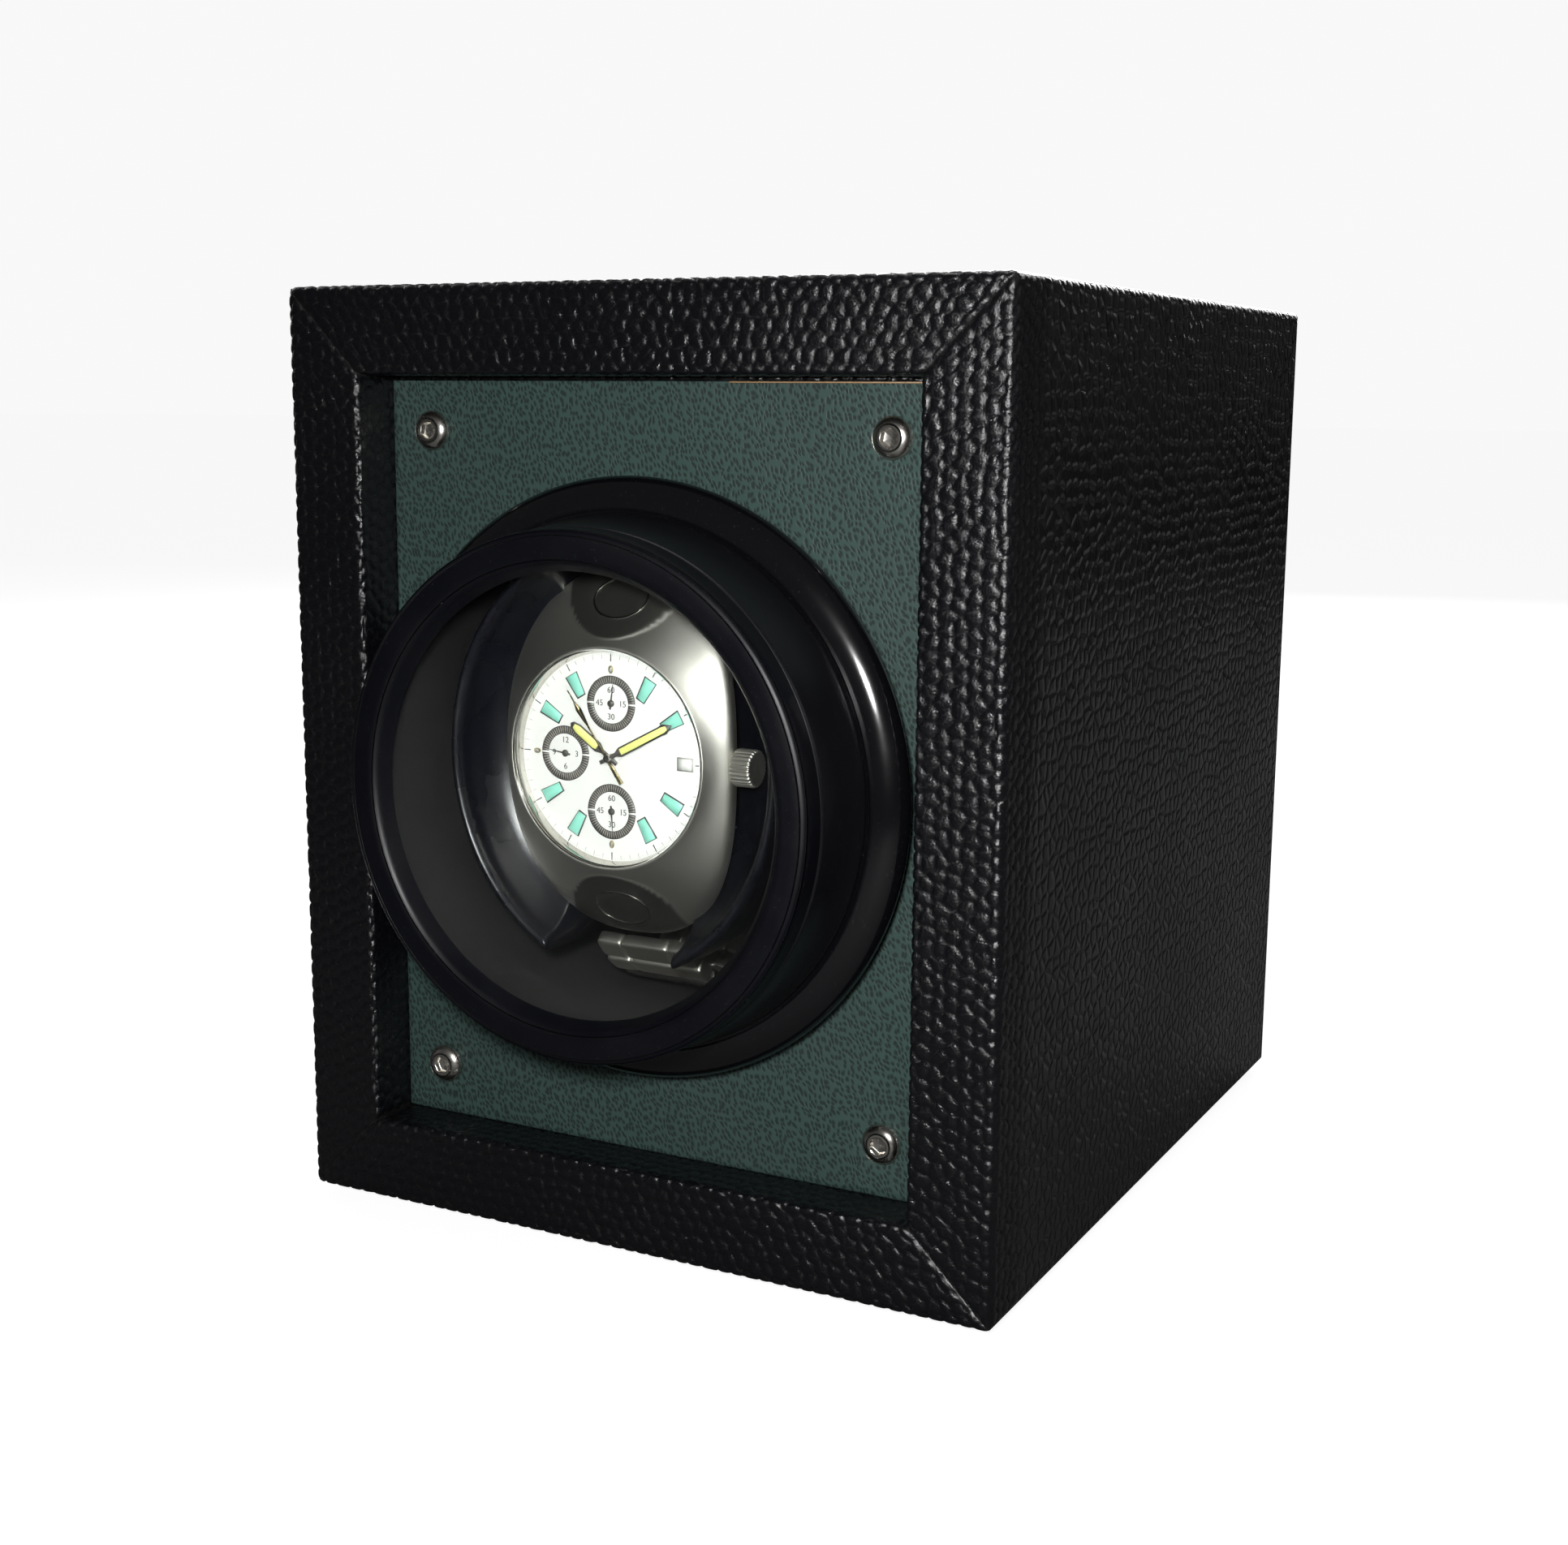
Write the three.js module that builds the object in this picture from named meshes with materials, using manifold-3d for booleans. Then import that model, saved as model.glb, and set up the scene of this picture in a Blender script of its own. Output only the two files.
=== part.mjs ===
// A watch winder box: a leatherette-covered case with a green fascia and a turning cup
// that holds one wristwatch behind a clear window. Millimetres, +Z up, the front faces -Y.
// Inside the "box" group, y = 0 is the front plane of the case and z = 0 its underside.

import * as THREE from 'three';
import { mergeVertices } from 'three/addons/utils/BufferGeometryUtils.js';
import Module from 'manifold-3d';

const wasm = await Module();
wasm.setup();

// ---------------------------------------------------------------- driving dimensions

// Case
const BOX_WIDTH = 127;
const BOX_HEIGHT = 153;
const BOX_DEPTH = 150;
const BOARD = 14;                 // thickness of the wrapped boards
const MITRE_GAP = 0.05;           // glue line, each side of a mitre
const SEAT = 0.05;                // gap where one flat face rests on another
const REBATE = 6;                 // step in the boards that takes the back panel
const FOOT_HEIGHT = 1.5;
const FOOT_RADIUS = 7;
const FOOT_INSET = 13;            // foot centre from the case's sides

// Fascia
const FASCIA_RECESS = 9;
const FASCIA_THICK = 6;
const FASCIA_CLEAR = 0.3;         // to the boards, all round
const SCREW_INSET_X = 8.2;        // fascia screw from the inner faces of the side boards
const SCREW_INSET_Z = 8.8;        // and of the top and bottom boards
const SCREW_RADIUS = 1.5;
const SCREW_HEAD_RADIUS = 3.2;
const SCREW_HEAD_HEIGHT = 1.65;
const SCREW_CLEAR = 0.1;

// Corner blocks and drive plate
const BLOCK = 15;
const BLOCK_LENGTH = 46;
const PLATE_THICK = 3;
const PLATE_MARGIN = 1.2;         // drive plate to the boards

// Rotor: radii about its axis, y along it
const CUP_INNER = 38.4;
const CUP_WALL = 2.1;
const CUP_NECK_WALL = 1.3;
const CUP_FLOOR = 48;             // y of the cup floor's front face
const CUP_FLOOR_THICK = 3;
const HUB_RADIUS = 9;
const HUB_HEIGHT = 2;
const FLANGE_WIDTH = 9.1;         // flange's edge beyond the cup's inner wall
const FLANGE_FRONT = 0.6;
const FLANGE_THICK = 4.6;
const CUP_TO_FASCIA = 2.5;        // running gap in the fascia's hole
const CAP_CLEAR = 0.1;            // cap barrel over the cup's neck
const CAP_ROOT_WALL = 2.1;        // wall of the barrel at the flange
const CAP_NOSE_WALL = 0.8;        // and at the front ring
const STANDOUT = 16;              // front of the ring ahead of the case
const RING_DEPTH = 4;
const RING_EYE_STEP = 3;          // the ring's opening inside the cup's wall, at its front face
const RING_THROAT_STEP = 4.4;     // and at the window
const RING_FACE = 15.6;           // where the opening's rounded edge ends
const WINDOW_THICK = 1.5;
const WINDOW_RIM = 1.6;           // ring's wall round the window
const LIP_THICK = 1.4;
const LIP_LEDGE = 2;              // barrel's ledge behind the window's edge
const NECK_TO_LIP = 0.3;

// Spindle, bearings and gears
const SPINDLE_RADIUS = 3;
const SPINDLE_HEAD_RADIUS = 8;
const SPINDLE_HEAD = 2;
const RUNNING = 0.04;             // radial clearance of a turning shaft
const FIXED = 0.05;               // radial gap of a pressed or glued fit
const THRUST_GAP = 0.15;          // end play between the gear's hub and the front bush
const BUSH_RADIUS = 5;
const BUSH_LENGTH = 8;
const BUSH_FLANGE_RADIUS = 7;
const BUSH_FLANGE = 1;
const HOUSING_RADIUS = 8;
const HOUSING_FLANGE_RADIUS = 11;
const HOUSING_FLANGE = 3;
const HOUSING_LENGTH = 21;
const CLIP_THICK = 1;
const CLIP_RADIUS = 6;
const GROOVE_DEPTH = 0.6;
const MODULE = 1;
const GEAR_TEETH = 36;
const PINION_TEETH = 15;
const GEAR_WIDTH = 5;
const GEAR_HUB_RADIUS = 6;
const BACKLASH = 0.15;
const ADDENDUM = 0.8;
const DEDENDUM = 1.05;
const PRESSURE_ANGLE = THREE.MathUtils.degToRad(20);

// Motor
const GEARBOX_RADIUS = 14;
const GEARBOX_LENGTH = 14;
const MOTOR_RADIUS = 12.5;
const MOTOR_LENGTH = 14.5;
const MOTOR_BOSS_RADIUS = 3.4;
const MOTOR_SHAFT_RADIUS = 1.5;
const MOTOR_SCREW_SPAN = 17;
const MOTOR_SCREW_RADIUS = 1.25;

// Back panel, door and controls
const PANEL_THICK = 4;
const PANEL_RECESS = 12;
const PANEL_CLEAR = 0.3;
const DOOR_WIDTH = 71.2;
const DOOR_HEIGHT = 67.2;
const DOOR_THICK = 3;
const DOOR_CLEAR = 0.4;
const DOOR_SILL = 22;             // bottom of the door's opening above the underside
const DOOR_PIN_RADIUS = 1;
const DOOR_PIN_LENGTH = 2.5;
const CONTROL_HEIGHT = 116;
const CONTROL_SPACING = 28;
const KNOB_RADIUS = 8;
const KNOB_HEIGHT = 8;
const KNOB_SHAFT_RADIUS = 3;
const ROCKER_LENGTH = 14.4;
const ROCKER_WIDTH = 8.4;
const ROCKER_FRAME_LENGTH = 19;
const ROCKER_FRAME_WIDTH = 13;
const ROCKER_BEZEL = 1.2;
const ROCKER_PIN_RADIUS = 1;
const ROCKER_SWING = 7;           // degrees each side of level
const JACK_RADIUS = 4;
const JACK_BODY_RADIUS = 5.5;
const BOARD_PCB_THICK = 1.6;

// Batteries
const CELL_RADIUS = 16.5;
const CELL_LENGTH = 60;
const CELL_PITCH = 36;
const CELL_NUB = 1.5;
const TRAY_WALL = 2;
const TRAY_LENGTH = 77;
const TRAY_DEPTH = 39;
const CELL_CLEAR = 0.5;
const SPRING_WIRE = 0.5;
const SPRING_TURNS = 3;
const CONTACT_THICK = 0.8;

// Watch and cuff
const WATCH_LIFT = 4.8;           // watch centre above the rotor's axis
const CUFF_LIFT = 4;              // cuff centre above the rotor's axis
const CUFF_CLEAR = 0.7;           // top of the cuff to the cup's wall
const CUFF_NARROWING = 4.3;       // cuff's half width less than its half height
const CUFF_RIM = -4;              // y of the cuff's front rim
const STRAP_SLOT = 11.5;          // half width of the slot that the strap passes through
const CASE_SIDE_GAP = 8.9;        // watch case to the cuff's outside, left and right
const CASE_END_GAP = 4.7;         // and at its two ends
const CASE_FRONT = 4.4;
const CASE_BACK = 4;
const CASE_BEND = 0.0062;         // how the case curves back round the wrist, per mm
const DIAL_EDGE = 0.7;            // crystal's edge beyond the dial's
const DIAL_FRONT = -2;
const DIAL_THICK = 0.5;
const CRYSTAL_EDGE = 0.9;         // bezel's edge beyond the crystal's
const CRYSTAL_FRONT = -4.5;
const CRYSTAL_THICK = 1;
const BEZEL_EDGE = 2.7;           // case's side beyond the bezel's edge
const STRAP_WIDTH = 17.5;
const STRAP_THICK = 2.6;
const CROWN_RADIUS = 2.9;
const CROWN_LENGTH = 3.4;
const STEM_RADIUS = 0.8;
const HAND_POST = 0.5;

// Sides of the round pieces
const SIDES_LARGE = 40;
const SIDES_MEDIUM = 20;
const SIDES_SMALL = 12;

// Places that follow from them
const innerX = BOX_WIDTH / 2 - BOARD;
const innerLow = BOARD;
const innerHigh = BOX_HEIGHT - BOARD;
const axisZ = BOX_HEIGHT / 2;
const screwX = innerX - SCREW_INSET_X;
const screwLow = innerLow + SCREW_INSET_Z;
const screwHigh = innerHigh - SCREW_INSET_Z;
const fasciaBack = FASCIA_RECESS + FASCIA_THICK;
const blockFront = fasciaBack + SEAT;
const plateFront = blockFront + BLOCK_LENGTH + SEAT;
const plateBack = plateFront + PLATE_THICK;
const panelBack = BOX_DEPTH - PANEL_RECESS;
const panelFront = panelBack - PANEL_THICK;
const neckRadius = CUP_INNER + CUP_NECK_WALL;
const cupRadius = CUP_INNER + CUP_WALL;
const flangeRadius = CUP_INNER + FLANGE_WIDTH;
const capRoot = neckRadius + CAP_CLEAR + CAP_ROOT_WALL;
const capNose = neckRadius + CAP_CLEAR + CAP_NOSE_WALL;
const windowRadius = capNose - WINDOW_RIM;
const windowFront = -STANDOUT + RING_DEPTH - 0.9;
const windowBack = windowFront + WINDOW_THICK;
const lipFront = windowBack + SEAT;
const lipBack = lipFront + LIP_THICK;
const neckFront = lipBack + NECK_TO_LIP;
const gearPitch = MODULE * GEAR_TEETH / 2;
const pinionPitch = MODULE * PINION_TEETH / 2;
const motorZ = axisZ + gearPitch + pinionPitch;
const gearFront = CUP_FLOOR + CUP_FLOOR_THICK + HUB_HEIGHT + SEAT;
const gearBack = gearFront + GEAR_WIDTH;
const motorFront = plateBack + SEAT;
const cuffHalfHeight = CUP_INNER - CUFF_CLEAR - CUFF_LIFT;
const cuffHalfWidth = cuffHalfHeight - CUFF_NARROWING;
const caseHalfWidth = cuffHalfWidth - CASE_SIDE_GAP;
const caseHalfHeight = cuffHalfHeight - CASE_END_GAP;
const bezelRadius = caseHalfWidth - BEZEL_EDGE;
const crystalRadius = bezelRadius - CRYSTAL_EDGE;
const dialRadius = crystalRadius - DIAL_EDGE;

// ---------------------------------------------------------------- finishes

const FINISHES = {
  leatherette: { color: 0x14151a, roughness: 0.5, metalness: 0 },
  fascia: { color: 0x2a4b40, roughness: 0.65, metalness: 0 },
  wood: { color: 0x9a7a55, roughness: 0.8, metalness: 0 },
  stainless: { color: 0xb9b4a8, roughness: 0.3, metalness: 1 },
  steel: { color: 0x8d9096, roughness: 0.35, metalness: 1 },
  bronze: { color: 0xa9794a, roughness: 0.4, metalness: 1 },
  aluminium: { color: 0xa8abae, roughness: 0.4, metalness: 1 },
  gloss_black: { color: 0x08080a, roughness: 0.12, metalness: 0 },
  satin_black: { color: 0x0d0d11, roughness: 0.4, metalness: 0 },
  rubber: { color: 0x111218, roughness: 0.75, metalness: 0 },
  clear: { color: 0xe8eeee, roughness: 0.03, metalness: 0 },
  cuff: { color: 0x15161e, roughness: 0.7, metalness: 0 },
  nylon: { color: 0xe4ddc8, roughness: 0.5, metalness: 0 },
  cell: { color: 0x3c3f46, roughness: 0.35, metalness: 0.2 },
  circuit: { color: 0x1d5a34, roughness: 0.5, metalness: 0 },
  titanium: { color: 0x9d988a, roughness: 0.3, metalness: 1 },
  dial: { color: 0xf2f0ea, roughness: 0.5, metalness: 0 },
  lume: { color: 0xc9c655, roughness: 0.5, metalness: 0 },
};

function finish(name) {
  return new THREE.MeshStandardMaterial(FINISHES[name]);
}

// ---------------------------------------------------------------- geometry helpers

// One closed shell: shared vertices merged, slivers dropped, faces turned outwards.
function closed(source) {
  const bare = source.clone();
  bare.deleteAttribute('uv');
  bare.deleteAttribute('normal');
  const merged = mergeVertices(bare, 1e-4);
  const place = merged.attributes.position;
  const corners = merged.index.array;
  const kept = [];
  let volume = 0;
  const a = new THREE.Vector3();
  const b = new THREE.Vector3();
  const c = new THREE.Vector3();
  for (let i = 0; i < corners.length; i += 3) {
    const [p, q, r] = [corners[i], corners[i + 1], corners[i + 2]];
    if (p === q || q === r || r === p) continue;
    a.fromBufferAttribute(place, p);
    b.fromBufferAttribute(place, q);
    c.fromBufferAttribute(place, r);
    volume += a.dot(b.cross(c));
    kept.push(p, q, r);
  }
  if (volume < 0) {
    kept.reverse();
  }
  merged.setIndex(kept);
  merged.computeVertexNormals();
  return merged;
}

function toSolid(geometry) {
  const shell = closed(geometry);
  const vertProperties = Float32Array.from(shell.attributes.position.array);
  const triVerts = Uint32Array.from(shell.index.array);
  const mesh = new wasm.Mesh({ numProp: 3, vertProperties, triVerts });
  mesh.merge();
  return new wasm.Manifold(mesh);
}

function toGeometry(solid) {
  const mesh = solid.getMesh();
  const geometry = new THREE.BufferGeometry();
  geometry.setAttribute('position', new THREE.BufferAttribute(mesh.vertProperties, 3));
  geometry.setIndex(new THREE.BufferAttribute(mesh.triVerts, 1));
  geometry.computeVertexNormals();
  return geometry;
}

function cut(body, ...tools) {
  const solid = tools.reduce((left, tool) => left.subtract(toSolid(tool)), toSolid(body));
  return toGeometry(solid);
}

function join(body, ...others) {
  const solid = others.reduce((whole, other) => whole.add(toSolid(other)), toSolid(body));
  return toGeometry(solid);
}

// A round solid about the Y axis; profile is a list of [radius, y].
function turned(profile, sides = SIDES_MEDIUM) {
  const points = profile.map(([radius, y]) => new THREE.Vector2(radius, y));
  return closed(new THREE.LatheGeometry(points, sides));
}

// The same with the profile closed on itself, for rings and tubes.
function turnedRing(profile, sides = SIDES_MEDIUM) {
  return turned([...profile, profile[0]], sides);
}

function cylinder(radius, y0, y1, sides = SIDES_MEDIUM) {
  return turned([[0, y0], [radius, y0], [radius, y1], [0, y1]], sides);
}

// Radius of a many-sided hole whose flats clear a round shaft of the given radius.
function bore(radius, sides = SIDES_MEDIUM) {
  return radius / Math.cos(Math.PI / sides);
}

function box(x0, x1, y0, y1, z0, z1) {
  const geometry = new THREE.BoxGeometry(x1 - x0, y1 - y0, z1 - z0);
  geometry.translate((x0 + x1) / 2, (y0 + y1) / 2, (z0 + z1) / 2);
  return closed(geometry);
}

function circle(x, y, radius, count) {
  const points = [];
  for (let i = 0; i < count; i += 1) {
    const angle = 2 * Math.PI * i / count;
    points.push(new THREE.Vector2(x + radius * Math.cos(angle), y + radius * Math.sin(angle)));
  }
  return points;
}

function outline(points, holes = []) {
  const shape = new THREE.Shape(points.map((p) => new THREE.Vector2(...(p.isVector2 ? [p.x, p.y] : p))));
  holes.forEach((hole) => shape.holes.push(new THREE.Path(hole)));
  return shape;
}

function rectangle(x0, x1, z0, z1) {
  return [[x0, z0], [x1, z0], [x1, z1], [x0, z1]];
}

// Prisms: the outline is drawn in (x, z), (y, z) or (x, y) and carried along the third axis.
function prismY(shape, y0, y1) {
  const geometry = new THREE.ExtrudeGeometry(shape, { depth: y1 - y0, bevelEnabled: false });
  geometry.rotateX(Math.PI / 2);
  geometry.translate(0, y1, 0);
  return closed(geometry);
}

function prismX(shape, x0, x1) {
  const geometry = new THREE.ExtrudeGeometry(shape, { depth: x1 - x0, bevelEnabled: false });
  const turn = new THREE.Matrix4().makeBasis(
    new THREE.Vector3(0, 1, 0),
    new THREE.Vector3(0, 0, 1),
    new THREE.Vector3(1, 0, 0),
  );
  geometry.applyMatrix4(turn);
  geometry.translate(x0, 0, 0);
  return closed(geometry);
}

function prismZ(shape, z0, z1) {
  const geometry = new THREE.ExtrudeGeometry(shape, { depth: z1 - z0, bevelEnabled: false });
  geometry.translate(0, 0, z0);
  return closed(geometry);
}

// Turns a solid made about Y so that it lies along +X.
function alongX(geometry) {
  return geometry.rotateZ(-Math.PI / 2);
}

function add(parent, name, geometry, finishName, position = [0, 0, 0]) {
  const mesh = new THREE.Mesh(closed(geometry), finish(finishName));
  mesh.name = name;
  mesh.position.set(...position);
  parent.add(mesh);
  return mesh;
}

// ---------------------------------------------------------------- fasteners and gears

// Button head with a hexagon socket, head towards -Y, seat at y = 0.
function buttonScrew(radius, headRadius, headHeight, length) {
  const body = turned([
    [0, -headHeight],
    [headRadius * 0.55, -headHeight * 0.93],
    [headRadius * 0.88, -headHeight * 0.58],
    [headRadius, -headHeight * 0.12],
    [headRadius, 0],
    [radius, 0],
    [radius, length],
    [0, length],
  ], SIDES_SMALL);
  const socket = cylinder(headRadius * 0.4, -headHeight - 1, -headHeight * 0.4, 6);
  return cut(body, socket);
}

// Involute gear outline about the origin, with the first tooth at the given angle.
function gearShape(teeth, boreRadius, firstTooth) {
  const pitch = MODULE * teeth / 2;
  const base = pitch * Math.cos(PRESSURE_ANGLE);
  const root = pitch - DEDENDUM * MODULE;
  const tip = pitch + ADDENDUM * MODULE;
  const involute = (angle) => Math.tan(angle) - angle;
  const halfAt = (radius) => {
    const pressure = Math.acos(Math.min(1, base / radius));
    const halfPitch = (Math.PI * MODULE / 2 - BACKLASH) / 2 / pitch;
    return halfPitch + involute(PRESSURE_ANGLE) - involute(pressure);
  };
  const flank = [root, pitch, tip];
  const points = [];
  for (let tooth = 0; tooth < teeth; tooth += 1) {
    const centre = firstTooth + 2 * Math.PI * tooth / teeth;
    const rising = flank.map((radius) => [radius, centre - halfAt(Math.max(radius, base))]);
    const falling = flank.map((radius) => [radius, centre + halfAt(Math.max(radius, base))]);
    [...rising, ...falling.reverse()].forEach(([radius, angle]) => {
      points.push([radius * Math.cos(angle), radius * Math.sin(angle)]);
    });
  }
  return outline(points, [circle(0, 0, boreRadius, SIDES_SMALL)]);
}

// ---------------------------------------------------------------- case

function buildCase(parent) {
  const w = BOX_WIDTH / 2;
  const h = BOX_HEIGHT;
  const g = MITRE_GAP;
  const rebateX = innerX + REBATE;
  const rebate = box(
    -rebateX, rebateX,
    panelFront, BOX_DEPTH + 1,
    innerLow - REBATE, innerHigh + REBATE,
  );
  const top = outline([
    [-w + g, h], [-innerX + g, innerHigh], [innerX - g, innerHigh], [w - g, h],
  ]);
  const side = outline([
    [w, g], [w, h - g], [innerX, innerHigh - g], [innerX, innerLow + g],
  ]);
  const topBoard = cut(prismY(top, 0, BOX_DEPTH), rebate);
  const bottomBoard = topBoard.clone().rotateY(Math.PI).translate(0, 0, h);
  const pilot = bore(SCREW_RADIUS + FIXED, SIDES_SMALL);
  const pilots = panelScrewHeights().map((z) => (
    cylinder(pilot, panelFront - 9, panelFront + 1, SIDES_SMALL).translate(panelScrewX(), 0, z)
  ));
  const rightBoard = cut(prismY(side, 0, BOX_DEPTH), rebate, ...pilots);
  const leftBoard = rightBoard.clone().scale(-1, 1, 1);
  add(parent, 'top_board', topBoard, 'leatherette');
  add(parent, 'bottom_board', bottomBoard, 'leatherette');
  add(parent, 'left_board', leftBoard, 'leatherette');
  add(parent, 'right_board', rightBoard, 'leatherette');
}

function panelScrewX() {
  return innerX + REBATE / 2;
}

function panelScrewHeights() {
  return [screwLow + SCREW_INSET_Z, screwHigh - SCREW_INSET_Z];
}

function buildFeet(parent) {
  const foot = turned([
    [0, -FOOT_HEIGHT], [FOOT_RADIUS - 0.5, -FOOT_HEIGHT],
    [FOOT_RADIUS, -SEAT], [0, -SEAT],
  ], SIDES_MEDIUM).rotateX(Math.PI / 2);
  const x = BOX_WIDTH / 2 - FOOT_INSET;
  const places = [
    ['foot_front_left', -x, FOOT_INSET],
    ['foot_front_right', x, FOOT_INSET],
    ['foot_back_left', -x, BOX_DEPTH - FOOT_INSET],
    ['foot_back_right', x, BOX_DEPTH - FOOT_INSET],
  ];
  places.forEach(([name, px, py]) => add(parent, name, foot, 'rubber', [px, py, 0]));
}

function cornerPlaces() {
  return [
    ['top_left', -screwX, screwHigh],
    ['top_right', screwX, screwHigh],
    ['bottom_left', -screwX, screwLow],
    ['bottom_right', screwX, screwLow],
  ];
}

function buildFascia(parent) {
  const hole = bore(SCREW_RADIUS + SCREW_CLEAR, SIDES_SMALL);
  const holes = cornerPlaces().map(([, x, z]) => circle(x, z, hole, SIDES_SMALL));
  holes.push(circle(0, axisZ, bore(cupRadius + CUP_TO_FASCIA, SIDES_LARGE), SIDES_LARGE));
  const edge = rectangle(
    -innerX + FASCIA_CLEAR, innerX - FASCIA_CLEAR,
    innerLow + FASCIA_CLEAR, innerHigh - FASCIA_CLEAR,
  );
  add(parent, 'fascia_panel', prismY(outline(edge, holes), FASCIA_RECESS, fasciaBack), 'fascia');
  const reach = plateBack - FASCIA_RECESS + 2;
  const screw = buttonScrew(SCREW_RADIUS, SCREW_HEAD_RADIUS, SCREW_HEAD_HEIGHT, reach);
  cornerPlaces().forEach(([place, x, z]) => {
    add(parent, `fascia_screw_${place}`, screw, 'stainless', [x, FASCIA_RECESS - SEAT, z]);
  });
}

function buildBlocks(parent) {
  cornerPlaces().forEach(([place, x, z]) => {
    const left = x < 0;
    const low = z < axisZ;
    const x0 = left ? -innerX + SEAT : innerX - SEAT - BLOCK;
    const z0 = low ? innerLow + SEAT : innerHigh - SEAT - BLOCK;
    const hole = circle(x, z, bore(SCREW_RADIUS + SCREW_CLEAR, SIDES_SMALL), SIDES_SMALL);
    const shape = outline(rectangle(x0, x0 + BLOCK, z0, z0 + BLOCK), [hole]);
    const block = prismY(shape, blockFront, blockFront + BLOCK_LENGTH);
    add(parent, `corner_block_${place}`, block, 'wood');
  });
}

// ---------------------------------------------------------------- drive

function motorScrewPlaces() {
  return [-MOTOR_SCREW_SPAN / 2, MOTOR_SCREW_SPAN / 2];
}

function buildPlate(parent) {
  const round = (x, z, radius, sides) => circle(x, z, bore(radius, sides), sides);
  const holes = cornerPlaces().map(([, x, z]) => round(x, z, SCREW_RADIUS + FIXED, SIDES_SMALL));
  holes.push(round(0, axisZ, HOUSING_RADIUS + FIXED, SIDES_MEDIUM));
  holes.push(round(0, motorZ, MOTOR_BOSS_RADIUS + SCREW_CLEAR, SIDES_SMALL));
  motorScrewPlaces().forEach((x) => {
    holes.push(round(x, motorZ, MOTOR_SCREW_RADIUS + SCREW_CLEAR, SIDES_SMALL));
  });
  const edge = rectangle(
    -innerX + PLATE_MARGIN, innerX - PLATE_MARGIN,
    innerLow + PLATE_MARGIN, innerHigh - PLATE_MARGIN,
  );
  add(parent, 'drive_plate', prismY(outline(edge, holes), plateFront, plateBack), 'aluminium');
}

function buildBearings(parent) {
  const front = plateFront + SEAT;
  const back = front + HOUSING_LENGTH;
  const seat = bore(BUSH_RADIUS + FIXED);
  const flange = plateBack + SEAT;
  add(parent, 'bearing_housing', turnedRing([
    [seat, front], [HOUSING_RADIUS, front], [HOUSING_RADIUS, flange],
    [HOUSING_FLANGE_RADIUS, flange], [HOUSING_FLANGE_RADIUS, flange + HOUSING_FLANGE],
    [HOUSING_RADIUS, flange + HOUSING_FLANGE], [HOUSING_RADIUS, back], [seat, back],
  ]), 'aluminium', [0, 0, axisZ]);
  const eye = bore(SPINDLE_RADIUS + RUNNING);
  const bush = (face, outward) => turnedRing([
    [eye, face + outward * BUSH_FLANGE],
    [BUSH_FLANGE_RADIUS, face + outward * BUSH_FLANGE],
    [BUSH_FLANGE_RADIUS, face],
    [BUSH_RADIUS, face],
    [BUSH_RADIUS, face - outward * BUSH_LENGTH],
    [eye, face - outward * BUSH_LENGTH],
  ]);
  add(parent, 'bush_front', bush(plateFront, -1), 'bronze', [0, 0, axisZ]);
  add(parent, 'bush_rear', bush(back + SEAT, 1), 'bronze', [0, 0, axisZ]);
  return back + SEAT + BUSH_FLANGE;
}

function buildMotor(parent) {
  const gearboxBack = motorFront + GEARBOX_LENGTH;
  const canBack = gearboxBack + MOTOR_LENGTH;
  const eye = bore(MOTOR_SHAFT_RADIUS + RUNNING);
  const boreEnd = motorFront + 6;
  const bossFront = plateFront + 0.5;
  const motor = turned([
    [0, boreEnd], [eye, boreEnd], [eye, bossFront], [MOTOR_BOSS_RADIUS, bossFront],
    [MOTOR_BOSS_RADIUS, motorFront], [GEARBOX_RADIUS, motorFront], [GEARBOX_RADIUS, gearboxBack],
    [MOTOR_RADIUS, gearboxBack], [MOTOR_RADIUS, canBack - 1], [MOTOR_RADIUS - 1, canBack],
    [4, canBack], [4, canBack + 1.5], [0, canBack + 1.5],
  ]);
  const thread = bore(MOTOR_SCREW_RADIUS + FIXED, SIDES_SMALL);
  const threads = motorScrewPlaces().map((x) => (
    cylinder(thread, motorFront - 1, motorFront + 5, SIDES_SMALL).translate(x, 0, 0)
  ));
  add(parent, 'gear_motor', cut(motor, ...threads), 'steel', [0, 0, motorZ]);
  const screw = buttonScrew(MOTOR_SCREW_RADIUS, 2.3, 1.4, PLATE_THICK + 4);
  ['left', 'right'].forEach((side, i) => {
    const place = [motorScrewPlaces()[i], plateFront - SEAT, motorZ];
    add(parent, `motor_screw_${side}`, screw, 'steel', place);
  });
  const shaft = cylinder(MOTOR_SHAFT_RADIUS, gearFront - 1, boreEnd - 0.3, SIDES_SMALL);
  add(parent, 'motor_shaft', shaft, 'steel', [0, 0, motorZ]);
  const pinion = gearShape(
    PINION_TEETH, bore(MOTOR_SHAFT_RADIUS + FIXED, SIDES_SMALL), -Math.PI / 2,
  );
  add(parent, 'motor_pinion', prismY(pinion, gearFront, gearBack), 'bronze', [0, 0, motorZ]);
}

// ---------------------------------------------------------------- rotor

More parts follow.
